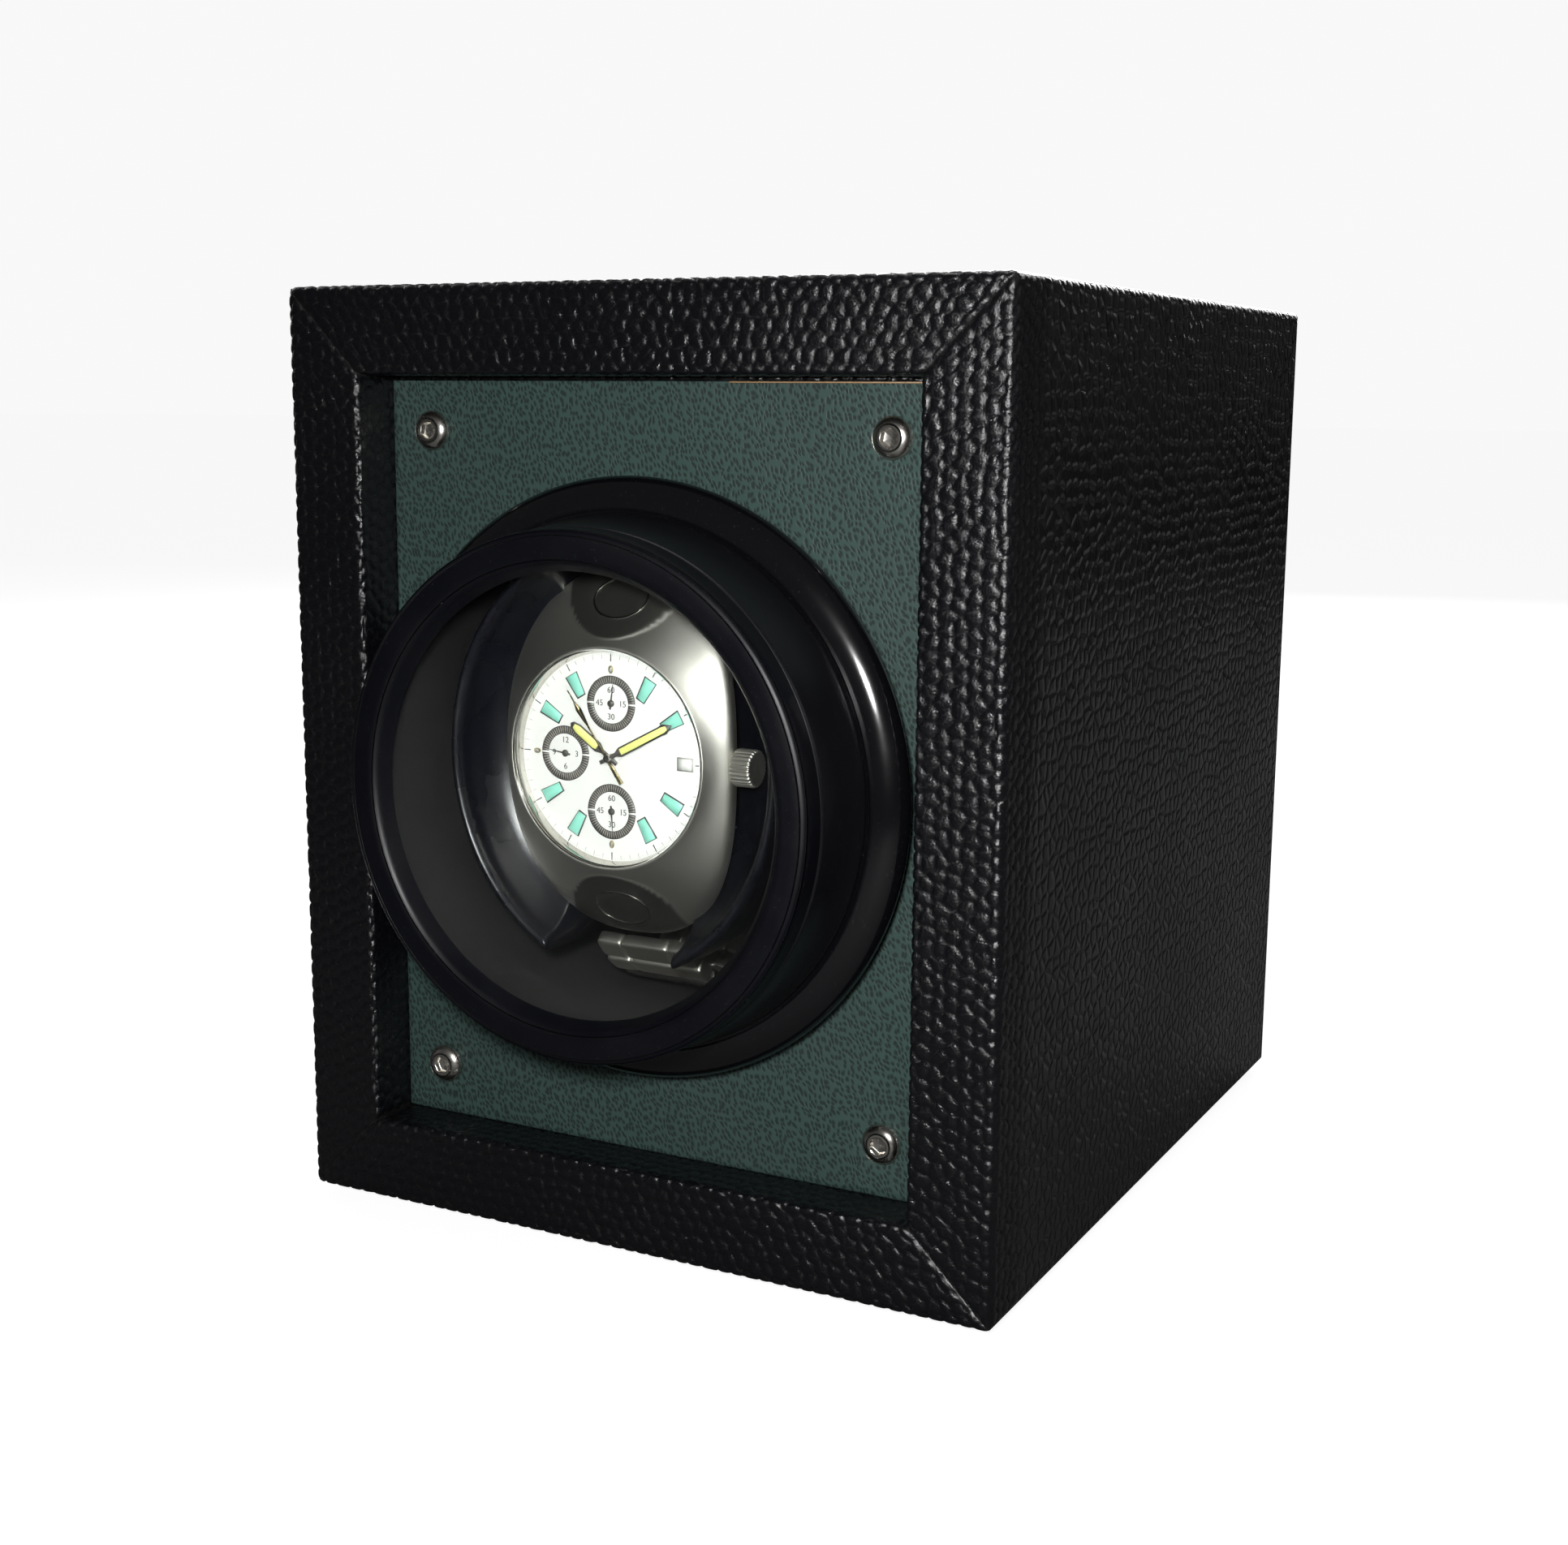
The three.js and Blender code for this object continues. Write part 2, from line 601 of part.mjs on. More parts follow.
function buildCup(parent) {
  const flangeBack = FLANGE_FRONT + FLANGE_THICK;
  const floorBack = CUP_FLOOR + CUP_FLOOR_THICK;
  const eye = bore(SPINDLE_RADIUS + FIXED, SIDES_LARGE);
  const cup = turnedRing([
    [CUP_INNER, neckFront],
    [neckRadius, neckFront],
    [neckRadius, FLANGE_FRONT],
    [capRoot + 0.3, FLANGE_FRONT],
    [flangeRadius - 3.6, FLANGE_FRONT - 0.1],
    [flangeRadius - 1.4, FLANGE_FRONT + 1.3],
    [flangeRadius - 0.3, FLANGE_FRONT + 2.2],
    [flangeRadius, FLANGE_FRONT + 3.2],
    [flangeRadius - 0.7, flangeBack],
    [cupRadius, flangeBack],
    [cupRadius, floorBack - 3],
    [cupRadius - 3, floorBack],
    [HUB_RADIUS, floorBack],
    [HUB_RADIUS, floorBack + HUB_HEIGHT],
    [eye, floorBack + HUB_HEIGHT],
    [eye, CUP_FLOOR],
    [CUP_INNER - 3, CUP_FLOOR],
    [CUP_INNER, CUP_FLOOR - 3],
  ], SIDES_LARGE);
  add(parent, 'rotor_cup', cup, 'gloss_black');
}

function buildSpindle(parent, bushEnd) {
  const headBack = CUP_FLOOR - SEAT;
  const groove = bushEnd + 0.15;
  const grooveRadius = SPINDLE_RADIUS - GROOVE_DEPTH;
  const grooveEnd = groove + CLIP_THICK + 0.2;
  add(parent, 'spindle', turned([
    [0, headBack - SPINDLE_HEAD],
    [SPINDLE_HEAD_RADIUS, headBack - SPINDLE_HEAD],
    [SPINDLE_HEAD_RADIUS, headBack],
    [SPINDLE_RADIUS, headBack],
    [SPINDLE_RADIUS, groove],
    [grooveRadius, groove],
    [grooveRadius, grooveEnd],
    [SPINDLE_RADIUS, grooveEnd],
    [SPINDLE_RADIUS, grooveEnd + 3],
    [0, grooveEnd + 3],
  ]), 'steel');
  const mouth = Math.PI / 5;
  const points = [];
  const steps = 16;
  for (let i = 0; i <= steps; i += 1) {
    const angle = mouth / 2 + (2 * Math.PI - mouth) * i / steps;
    points.push([CLIP_RADIUS * Math.cos(angle), CLIP_RADIUS * Math.sin(angle)]);
  }
  for (let i = steps; i >= 0; i -= 1) {
    const angle = mouth / 2 + (2 * Math.PI - mouth) * i / steps;
    const inner = grooveRadius + 0.15;
    points.push([inner * Math.cos(angle), inner * Math.sin(angle)]);
  }
  const clip = prismY(outline(points), groove + 0.1, groove + 0.1 + CLIP_THICK);
  add(parent, 'spindle_clip', clip, 'steel');
}

function buildGear(parent, bushFrontFace) {
  const halfTooth = Math.PI / GEAR_TEETH;
  const eye = bore(SPINDLE_RADIUS + FIXED, SIDES_SMALL);
  const wheel = prismY(gearShape(GEAR_TEETH, eye, Math.PI / 2 + halfTooth), gearFront, gearBack);
  const hubEnd = bushFrontFace - THRUST_GAP;
  const hub = turnedRing([
    [eye, gearBack - 1], [GEAR_HUB_RADIUS, gearBack - 1],
    [GEAR_HUB_RADIUS, hubEnd], [eye, hubEnd],
  ], SIDES_SMALL);
  add(parent, 'drive_gear', join(wheel, hub), 'nylon');
}

function buildCap(parent) {
  const barrelInner = bore(neckRadius + CAP_CLEAR, SIDES_LARGE);
  const lip = windowRadius - LIP_LEDGE;
  add(parent, 'cap_barrel', turnedRing([
    [lip, lipFront],
    [capNose - 0.5, lipFront],
    [capNose, lipFront + 0.5],
    [capRoot, FLANGE_FRONT - 0.3],
    [barrelInner, FLANGE_FRONT - 0.3],
    [barrelInner, lipBack],
    [lip, lipBack],
  ], SIDES_LARGE), 'satin_black');
  const ringBack = lipFront - SEAT;
  const pocket = bore(windowRadius + CAP_CLEAR, SIDES_LARGE);
  add(parent, 'cap_ring', turnedRing([
    [CUP_INNER - RING_THROAT_STEP, windowFront - SEAT],
    [CUP_INNER - RING_EYE_STEP, -RING_FACE],
    [CUP_INNER - RING_EYE_STEP + 0.7, -STANDOUT],
    [capNose - 1.7, -STANDOUT],
    [capNose - 0.7, -STANDOUT + 0.35],
    [capNose - 0.2, -STANDOUT + 1],
    [capNose - 0.1, ringBack],
    [pocket, ringBack],
    [pocket, windowFront - SEAT],
  ], SIDES_LARGE), 'rubber');
  const window = turned([
    [0, windowFront], [windowRadius, windowFront], [windowRadius, windowBack], [0, windowBack],
  ], SIDES_LARGE);
  add(parent, 'cap_window', window, 'clear');
}

// ---------------------------------------------------------------- cuff and watch

// The pebble-shaped case: a sphere drawn out to a soft oval, bent back at both ends.
function casePebble(margin) {
  const pebble = new THREE.SphereGeometry(1, 28, 14);
  const place = pebble.attributes.position;
  const power = 2 / 2.4;
  const soft = (value) => Math.sign(value) * Math.abs(value) ** power;
  for (let i = 0; i < place.count; i += 1) {
    const reach = Math.hypot(place.getX(i), place.getZ(i));
    const across = reach > 0 ? soft(place.getX(i) / reach) * reach : 0;
    const along = reach > 0 ? soft(place.getZ(i) / reach) * reach : 0;
    const z = along * (caseHalfHeight + margin);
    const depth = place.getY(i);
    const bulge = depth < 0 ? CASE_FRONT + margin : CASE_BACK + margin;
    const y = soft(depth) * bulge + CASE_BEND * z * z;
    place.setXYZ(i, across * (caseHalfWidth + margin), y, z);
  }
  return closed(pebble);
}

function buildWatchCase(parent) {
  const bezelFront = CRYSTAL_FRONT + 0.3;
  const bezel = turned([
    [0, bezelFront], [bezelRadius - 0.5, bezelFront],
    [bezelRadius, bezelFront + 0.4], [bezelRadius + 0.6, 0], [0, 0],
  ], SIDES_LARGE);
  const clear = CRYSTAL_FRONT - 2;
  const dialSeat = cylinder(dialRadius + FIXED, clear, DIAL_FRONT + DIAL_THICK + SEAT, SIDES_LARGE);
  const crystalSeat = cylinder(
    crystalRadius + FIXED, clear, CRYSTAL_FRONT + CRYSTAL_THICK + SEAT, SIDES_LARGE,
  );
  const stem = bore(STEM_RADIUS + RUNNING, SIDES_SMALL);
  const stemHole = alongX(cylinder(stem, caseHalfWidth - 4, caseHalfWidth + 4, SIDES_SMALL));
  const body = join(casePebble(0), bezel);
  add(parent, 'watch_case', cut(body, dialSeat, crystalSeat, stemHole), 'titanium');
  const dial = turnedRing([
    [HAND_POST / 2, DIAL_FRONT], [dialRadius, DIAL_FRONT],
    [dialRadius, DIAL_FRONT + DIAL_THICK], [HAND_POST / 2, DIAL_FRONT + DIAL_THICK],
  ], SIDES_LARGE);
  add(parent, 'watch_dial', dial, 'dial');
  const crystal = cylinder(crystalRadius, CRYSTAL_FRONT, CRYSTAL_FRONT + CRYSTAL_THICK, SIDES_LARGE);
  add(parent, 'watch_crystal', crystal, 'clear');
}

// A hand pointing up from the origin, with a round eye for its post.
function handShape(length, width, tail) {
  const eye = HAND_POST + 0.35;
  const points = [[-width / 2, -tail], [width / 2, -tail], [width / 2, -eye], [eye, -eye * 0.5], [eye, eye * 0.5]];
  points.push([width / 2, eye], [width / 2, length * 0.82], [0, length], [-width / 2, length * 0.82]);
  points.push([-width / 2, eye], [-eye, eye * 0.5], [-eye, -eye * 0.5], [-width / 2, -eye]);
  return outline(points);
}

function buildHands(parent) {
  const hands = [
    ['watch_hour_hand', dialRadius - 7.6, 1.5, 1.6, 305.2, DIAL_FRONT - 0.5],
    ['watch_minute_hand', dialRadius - 3.2, 1.4, 1.8, 62, DIAL_FRONT - 0.9],
    ['watch_stopwatch_hand', dialRadius - 3.8, 0.45, 4.6, 325, DIAL_FRONT - 1.3],
  ];
  hands.forEach(([name, length, width, tail, bearing, y]) => {
    const blade = prismY(handShape(length, width, tail), y - 0.1, y + 0.1);
    blade.rotateY(THREE.MathUtils.degToRad(bearing));
    add(parent, name, blade, 'lume');
  });
}

function buildCrown(parent) {
  const start = caseHalfWidth + 0.4;
  const flutes = [];
  const count = 18;
  for (let i = 0; i < count; i += 1) {
    const angle = 2 * Math.PI * i / count;
    const radius = i % 2 ? CROWN_RADIUS : CROWN_RADIUS - 0.35;
    flutes.push([radius * Math.cos(angle), radius * Math.sin(angle)]);
  }
  const grip = prismX(outline(flutes), start, start + CROWN_LENGTH);
  const stem = alongX(cylinder(STEM_RADIUS, caseHalfWidth - 3.5, start + 0.5, SIDES_SMALL));
  add(parent, 'watch_crown', join(grip, stem), 'titanium');
}

// The bracelet's centre line, from below the watch round the back of the cuff to its top.
function strapPath() {
  const low = -CUP_INNER - WATCH_LIFT;
  const high = CUP_INNER - WATCH_LIFT;
  const stops = [
    [7.2, low + 12], [12.5, low + 6.7], [20, low + 4], [28, low + 7.7], [32.4, low + 20.2], [33.4, -3],
    [31.4, high - 18.6], [25, high - 8.1], [17, high - 5], [8, high - 3.8],
  ];
  return new THREE.CatmullRomCurve3(stops.map(([y, z]) => new THREE.Vector3(0, y, z)));
}

function buildBracelet(parent) {
  const half = STRAP_WIDTH / 2;
  const section = outline(rectangle(-half, half, -STRAP_THICK / 2, STRAP_THICK / 2));
  const band = new THREE.ExtrudeGeometry(section, {
    steps: 28, bevelEnabled: false, extrudePath: strapPath(),
  });
  add(parent, 'watch_bracelet', cut(band, casePebble(0.3)), 'titanium');
}

function buildCuff(parent) {
  const h = cuffHalfHeight;
  const lift = CUFF_LIFT - WATCH_LIFT;
  const floor = CASE_BACK - 0.4;
  const bowl = turned([
    [0, floor], [h - 14, floor + 0.4], [h - 8.6, 4.6], [h - 4.6, 3.2], [h - 2.4, 0.8],
    [h - 1.8, CUFF_RIM + 1], [h - 1.1, CUFF_RIM], [h - 0.4, CUFF_RIM + 0.2], [h, CUFF_RIM + 1.2],
    [h, CUFF_RIM + 14], [h - 3, CUP_FLOOR - 10], [h - 5, CUP_FLOOR - SEAT], [0, CUP_FLOOR - SEAT],
  ], 32).scale(cuffHalfWidth / cuffHalfHeight, 1, 1).translate(0, 0, lift);
  const slot = box(-STRAP_SLOT, STRAP_SLOT, CUFF_RIM - 5, CUP_FLOOR + 1, -60, 60);
  const core = alongX(cylinder(1, -STRAP_SLOT - 1, STRAP_SLOT + 1))
    .scale(1, 12, h - 9.7).translate(0, 17, lift - 1.5);
  const opening = cut(slot, core);
  add(parent, 'watch_cuff', cut(bowl, opening, casePebble(0.3)), 'cuff');
}

// ---------------------------------------------------------------- power and controls

function cellHeights() {
  const middle = DOOR_SILL + DOOR_CLEAR + DOOR_HEIGHT / 2;
  return [middle - CELL_PITCH / 2, middle + CELL_PITCH / 2];
}

function buildBatteries(parent) {
  const half = TRAY_LENGTH / 2;
  const back = panelFront - 1;
  const front = back - TRAY_DEPTH;
  const [low, high] = cellHeights();
  const z0 = low - CELL_RADIUS - CELL_CLEAR - TRAY_WALL;
  const z1 = high + CELL_RADIUS + CELL_CLEAR + TRAY_WALL;
  const shell = box(-half, half, front, back, z0, z1);
  const hollow = box(
    -half + TRAY_WALL, half - TRAY_WALL,
    front + TRAY_WALL, back + 1,
    z0 + TRAY_WALL, z1 - TRAY_WALL,
  );
  add(parent, 'battery_tray', cut(shell, hollow), 'satin_black');
  const y = front + TRAY_WALL + CELL_CLEAR + CELL_RADIUS;
  const contactBack = half - TRAY_WALL - 0.2;
  const nubEnd = contactBack - CONTACT_THICK - 0.2;
  const canStart = nubEnd - CELL_NUB - CELL_LENGTH;
  const cell = alongX(turned([
    [0, canStart], [CELL_RADIUS - 0.8, canStart], [CELL_RADIUS, canStart + 0.8],
    [CELL_RADIUS, nubEnd - CELL_NUB - 0.8], [CELL_RADIUS - 0.8, nubEnd - CELL_NUB],
    [4.5, nubEnd - CELL_NUB], [4.5, nubEnd], [0, nubEnd],
  ]));
  const contact = box(contactBack - CONTACT_THICK, contactBack, y - 5, y + 5, low - 7, high + 7);
  add(parent, 'battery_contact', contact, 'steel');
  const wallFace = -half + TRAY_WALL + SPRING_WIRE + 0.1;
  const reach = canStart - 0.2 - SPRING_WIRE - wallFace;
  const stops = [];
  const steps = SPRING_TURNS * 8;
  for (let i = 0; i <= steps; i += 1) {
    const t = i / steps;
    const angle = 2 * Math.PI * SPRING_TURNS * t;
    const radius = 6 - 2.5 * t;
    stops.push(new THREE.Vector3(
      wallFace + reach * t, radius * Math.cos(angle), radius * Math.sin(angle),
    ));
  }
  const wire = new THREE.ExtrudeGeometry(outline(circle(0, 0, SPRING_WIRE, 4)), {
    steps, bevelEnabled: false, extrudePath: new THREE.CatmullRomCurve3(stops),
  });
  [['lower', low], ['upper', high]].forEach(([place, z]) => {
    add(parent, `battery_cell_${place}`, cell, 'cell', [0, y, z]);
    add(parent, `battery_spring_${place}`, wire, 'steel', [0, y, z]);
  });
}

function buildDoor(parent) {
  const half = DOOR_WIDTH / 2;
  const thick = DOOR_THICK / 2;
  const pinY = panelBack - thick;
  const pinZ = DOOR_SILL + DOOR_CLEAR + thick;
  const profile = [[pinY + thick, pinZ], [pinY + thick, DOOR_SILL + DOOR_CLEAR + DOOR_HEIGHT]];
  profile.push([pinY - thick, DOOR_SILL + DOOR_CLEAR + DOOR_HEIGHT], [pinY - thick, pinZ]);
  for (let i = 1; i < 6; i += 1) {
    const angle = Math.PI + Math.PI * i / 6;
    profile.push([pinY + thick * Math.cos(angle), pinZ + thick * Math.sin(angle)]);
  }
  const leaf = prismX(outline(profile), -half, half);
  const reach = half + DOOR_CLEAR + DOOR_PIN_LENGTH - 0.5;
  const pin = alongX(cylinder(DOOR_PIN_RADIUS, -reach, reach, SIDES_SMALL)).translate(0, pinY, pinZ);
  add(parent, 'battery_door', join(leaf, pin), 'satin_black');
  const eye = bore(DOOR_PIN_RADIUS + RUNNING, SIDES_SMALL);
  return alongX(cylinder(eye, -reach - 0.5, reach + 0.5, SIDES_SMALL)).translate(0, pinY, pinZ);
}

function buildPanel(parent, pinHole) {
  const edgeX = innerX + REBATE - PANEL_CLEAR;
  const z0 = innerLow - REBATE + PANEL_CLEAR;
  const z1 = innerHigh + REBATE - PANEL_CLEAR;
  const doorX = DOOR_WIDTH / 2 + DOOR_CLEAR;
  const doorTop = DOOR_SILL + DOOR_HEIGHT + 2 * DOOR_CLEAR;
  const rx = ROCKER_FRAME_LENGTH / 2 + 0.1;
  const rz = ROCKER_FRAME_WIDTH / 2 + 0.1;
  const toVectors = (points) => points.map(([x, z]) => new THREE.Vector2(x, z));
  const holes = [
    toVectors(rectangle(-doorX, doorX, DOOR_SILL, doorTop)),
    toVectors(rectangle(
      -CONTROL_SPACING - rx, -CONTROL_SPACING + rx, CONTROL_HEIGHT - rz, CONTROL_HEIGHT + rz,
    )),
    circle(CONTROL_SPACING, CONTROL_HEIGHT, bore(JACK_RADIUS + SCREW_CLEAR), SIDES_MEDIUM),
    circle(0, CONTROL_HEIGHT, bore(KNOB_SHAFT_RADIUS + SCREW_CLEAR), SIDES_MEDIUM),
  ];
  [-1, 1].forEach((side) => panelScrewHeights().forEach((z) => {
    const hole = bore(SCREW_RADIUS + SCREW_CLEAR, SIDES_SMALL);
    holes.push(circle(side * panelScrewX(), z, hole, SIDES_SMALL));
  }));
  const sheet = prismY(outline(rectangle(-edgeX, edgeX, z0, z1), holes), panelFront + SEAT, panelBack);
  add(parent, 'back_panel', cut(sheet, pinHole), 'leatherette');
  const screw = buttonScrew(SCREW_RADIUS, 2.5, 1.5, PANEL_THICK + 8).rotateZ(Math.PI);
  [['left', -1], ['right', 1]].forEach(([side, sign]) => {
    panelScrewHeights().forEach((z, i) => {
      const name = `panel_screw_${i ? 'upper' : 'lower'}_${side}`;
      add(parent, name, screw, 'stainless', [sign * panelScrewX(), panelBack + SEAT, z]);
    });
  });
}

function buildRocker(parent) {
  const halfX = ROCKER_FRAME_LENGTH / 2;
  const halfZ = ROCKER_FRAME_WIDTH / 2;
  const place = [-CONTROL_SPACING, panelBack, CONTROL_HEIGHT];
  const depth = 14;
  const pivot = -3.4;
  const body = box(-halfX, halfX, -depth, 0.5, -halfZ, halfZ);
  const bezel = box(
    -halfX - ROCKER_BEZEL, halfX + ROCKER_BEZEL, SEAT, 1.6, -halfZ - ROCKER_BEZEL, halfZ + ROCKER_BEZEL,
  );
  const well = box(
    -ROCKER_LENGTH / 2 - 0.4, ROCKER_LENGTH / 2 + 0.4, -depth + 2, 3,
    -ROCKER_WIDTH / 2 - 0.3, ROCKER_WIDTH / 2 + 0.3,
  );
  const pinReach = ROCKER_WIDTH / 2 + 1.4;
  const eye = bore(ROCKER_PIN_RADIUS + RUNNING, SIDES_SMALL);
  const pinHole = cylinder(eye, -pinReach - 0.3, pinReach + 0.3, SIDES_SMALL)
    .rotateX(Math.PI / 2).translate(0, pivot, 0);
  add(parent, 'rocker_frame', cut(join(body, bezel), well, pinHole), 'satin_black', place);
  const half = ROCKER_LENGTH / 2 - 0.5;
  const profile = [
    [-half, 4.6], [0, 3.7], [half, 4.6], [half - 0.2, 1.6], [2.4, -2.4], [-2.4, -2.4], [-half + 0.2, 1.6],
  ];
  const paddle = prismZ(outline(profile), -ROCKER_WIDTH / 2, ROCKER_WIDTH / 2);
  const pin = cylinder(ROCKER_PIN_RADIUS, -pinReach, pinReach, SIDES_SMALL).rotateX(Math.PI / 2);
  const rocker = join(paddle, pin).rotateZ(THREE.MathUtils.degToRad(ROCKER_SWING));
  add(parent, 'rocker', rocker, 'gloss_black', [place[0], place[1] + pivot, place[2]]);
}

function buildControls(parent) {
  const boardBack = panelFront - 12;
  const pcb = box(
    -15, CONTROL_SPACING + 14, boardBack - BOARD_PCB_THICK, boardBack,
    CONTROL_HEIGHT - 14, CONTROL_HEIGHT + 14,
  );
  add(parent, 'control_board', pcb, 'circuit');
  const front = boardBack + SEAT;
  const eye = bore(KNOB_SHAFT_RADIUS + RUNNING);
  add(parent, 'selector_switch', turned([
    [0, front], [KNOB_RADIUS, front], [KNOB_RADIUS, panelFront - 0.3], [eye, panelFront - 0.3],
    [eye, front + 3], [0, front + 3],
  ]), 'steel', [0, 0, CONTROL_HEIGHT]);
  const knobFront = panelBack + 0.4;
  const knob = turned([
    [0, front + 3.3], [KNOB_SHAFT_RADIUS, front + 3.3], [KNOB_SHAFT_RADIUS, knobFront],
    [KNOB_RADIUS, knobFront], [KNOB_RADIUS - 0.6, knobFront + KNOB_HEIGHT - 1],
    [KNOB_RADIUS - 1.6, knobFront + KNOB_HEIGHT], [0, knobFront + KNOB_HEIGHT],
  ]);
  const mark = box(-0.6, 0.6, knobFront + KNOB_HEIGHT - 0.8, knobFront + KNOB_HEIGHT + 1, 1.5, KNOB_RADIUS);
  add(parent, 'selector_knob', cut(knob, mark), 'satin_black', [0, 0, CONTROL_HEIGHT]);
  const nose = panelBack + 0.6;
  add(parent, 'dc_inlet', turned([
    [0, front], [JACK_BODY_RADIUS, front], [JACK_BODY_RADIUS, panelFront - 0.3],
    [JACK_RADIUS, panelFront - 0.3], [JACK_RADIUS, nose], [2.75, nose], [2.75, front + 4],
    [0.65, front + 4], [0.65, nose - 2], [0, nose - 2],
  ], SIDES_SMALL), 'satin_black', [CONTROL_SPACING, 0, CONTROL_HEIGHT]);
}

// ---------------------------------------------------------------- assembly

const winder = new THREE.Group();
const boxGroup = new THREE.Group();
boxGroup.position.set(0, -(BOX_DEPTH - STANDOUT) / 2, FOOT_HEIGHT);
winder.add(boxGroup);

const rotor = new THREE.Group();
rotor.position.set(0, 0, axisZ);
boxGroup.add(rotor);

const watch = new THREE.Group();
watch.position.set(0, 0, WATCH_LIFT);
rotor.add(watch);

buildCase(boxGroup);
buildFeet(boxGroup);
buildFascia(boxGroup);
buildBlocks(boxGroup);
buildPlate(boxGroup);
const bushEnd = buildBearings(boxGroup);
buildMotor(boxGroup);
buildBatteries(boxGroup);
const pinHole = buildDoor(boxGroup);
buildPanel(boxGroup, pinHole);
buildRocker(boxGroup);
buildControls(boxGroup);

buildCup(rotor);
buildSpindle(rotor, bushEnd);
buildGear(rotor, plateFront - BUSH_FLANGE);
buildCap(rotor);

buildCuff(watch);
buildWatchCase(watch);
buildHands(watch);
buildCrown(watch);
buildBracelet(watch);

export default winder;
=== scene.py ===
"""Looks of the watch winder box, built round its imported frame.

Lengths inside the classes are in millimetres from three datums taken from the frame: the front
plane of the case, its underside, and the axis that the cup turns about. Every mesh is made in
metres in the row frame, with its object at the origin.
"""

import logging
import math
from dataclasses import dataclass, field
from enum import Enum
from functools import partial
from typing import Callable, Optional, Sequence

import bmesh
import bpy
import numpy as np
from mathutils import Matrix, Vector


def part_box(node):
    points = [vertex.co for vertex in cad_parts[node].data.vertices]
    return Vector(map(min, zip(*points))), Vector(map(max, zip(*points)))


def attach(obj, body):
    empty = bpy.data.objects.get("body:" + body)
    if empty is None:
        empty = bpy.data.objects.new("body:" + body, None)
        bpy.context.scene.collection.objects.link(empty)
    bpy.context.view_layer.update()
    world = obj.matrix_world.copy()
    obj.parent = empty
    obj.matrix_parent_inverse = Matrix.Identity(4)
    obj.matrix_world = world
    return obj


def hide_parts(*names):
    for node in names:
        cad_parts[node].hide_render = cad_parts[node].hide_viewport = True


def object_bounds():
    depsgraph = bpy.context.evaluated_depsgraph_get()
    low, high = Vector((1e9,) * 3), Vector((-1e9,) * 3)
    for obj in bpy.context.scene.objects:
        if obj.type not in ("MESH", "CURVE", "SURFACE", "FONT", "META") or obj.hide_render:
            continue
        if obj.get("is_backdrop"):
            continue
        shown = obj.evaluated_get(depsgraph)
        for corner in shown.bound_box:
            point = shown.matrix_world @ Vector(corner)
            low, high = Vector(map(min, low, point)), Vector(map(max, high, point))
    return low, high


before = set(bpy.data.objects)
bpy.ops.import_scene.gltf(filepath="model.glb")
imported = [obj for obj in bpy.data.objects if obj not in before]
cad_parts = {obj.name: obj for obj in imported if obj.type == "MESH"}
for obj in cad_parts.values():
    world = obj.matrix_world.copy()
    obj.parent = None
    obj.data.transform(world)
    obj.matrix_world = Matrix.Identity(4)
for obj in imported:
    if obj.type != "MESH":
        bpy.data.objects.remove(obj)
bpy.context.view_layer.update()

MM = 0.001
LOG = logging.getLogger("winder")
Array = np.ndarray
Colour = tuple[float, float, float]
Place = tuple[float, float, float]
Piece = bpy.types.Object
Node = bpy.types.Node
Socket = bpy.types.NodeSocket
CORNERS = ("top_left", "top_right", "bottom_left", "bottom_right")
SIDES = ("left", "right")


# ---- datums


@dataclass(frozen=True)
class Datum:
    """Where the case, the cup and the watch stand in the row frame, in metres."""

    half_width: float
    front: float
    back: float
    low: float
    high: float
    board: float
    axis_z: float
    watch_z: float

    @classmethod
    def from_frame(cls) -> "Datum":
        """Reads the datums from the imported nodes.

        Returns:
            The datums of this frame.
        """
        top_low, top_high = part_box("top_board")
        bottom_low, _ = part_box("bottom_board")
        cup_low, cup_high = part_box("rotor_cup")
        dial_low, dial_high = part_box("watch_dial")
        return cls(
            half_width=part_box("right_board")[1].x,
            front=top_low.y,
            back=top_high.y,
            low=bottom_low.z,
            high=top_high.z,
            board=top_high.z - top_low.z,
            axis_z=(cup_low.z + cup_high.z) / 2,
            watch_z=(dial_low.z + dial_high.z) / 2,
        )

    def depth(self, y_mm: Array) -> Array:
        """Row-frame y of a depth in millimetres behind the case's front plane."""
        return self.front + np.asarray(y_mm, float) * MM

    def points(self, x: Array, y: Array, z: Array, level: float) -> Array:
        """Places given as (x, depth, height above a level) in millimetres, spread to one shape.

        Args:
            x: Distances to the right of the middle.
            y: Depths behind the front plane.
            z: Heights above the level.
            level: Row-frame z that the heights count from, in metres.

        Returns:
            (..., 3) positions in metres.
        """
        x, y, z = np.broadcast_arrays(x, y, z)
        return np.stack([x * MM, self.depth(y), level + z * MM], -1)


# ---- mesh making


def placed(name: str, data: bpy.types.ID) -> Piece:
    """A new object that holds the data, put into the scene.

    Args:
        name: Name of the object.
        data: Its mesh, text, lamp or camera.

    Returns:
        The object, at the origin.
    """
    obj = bpy.data.objects.new(name, data)
    bpy.context.scene.collection.objects.link(obj)
    return obj


def vectors_of(items: bpy.types.bpy_prop_collection, key: str) -> Array:
    """A vector property of every vertex or face, as (n, 3) values.

    Args:
        items: The vertices or faces.
        key: Name of the property.

    Returns:
        (n, 3) values.
    """
    flat = np.zeros(len(items) * 3)
    items.foreach_get(key, flat)
    return flat.reshape(-1, 3)


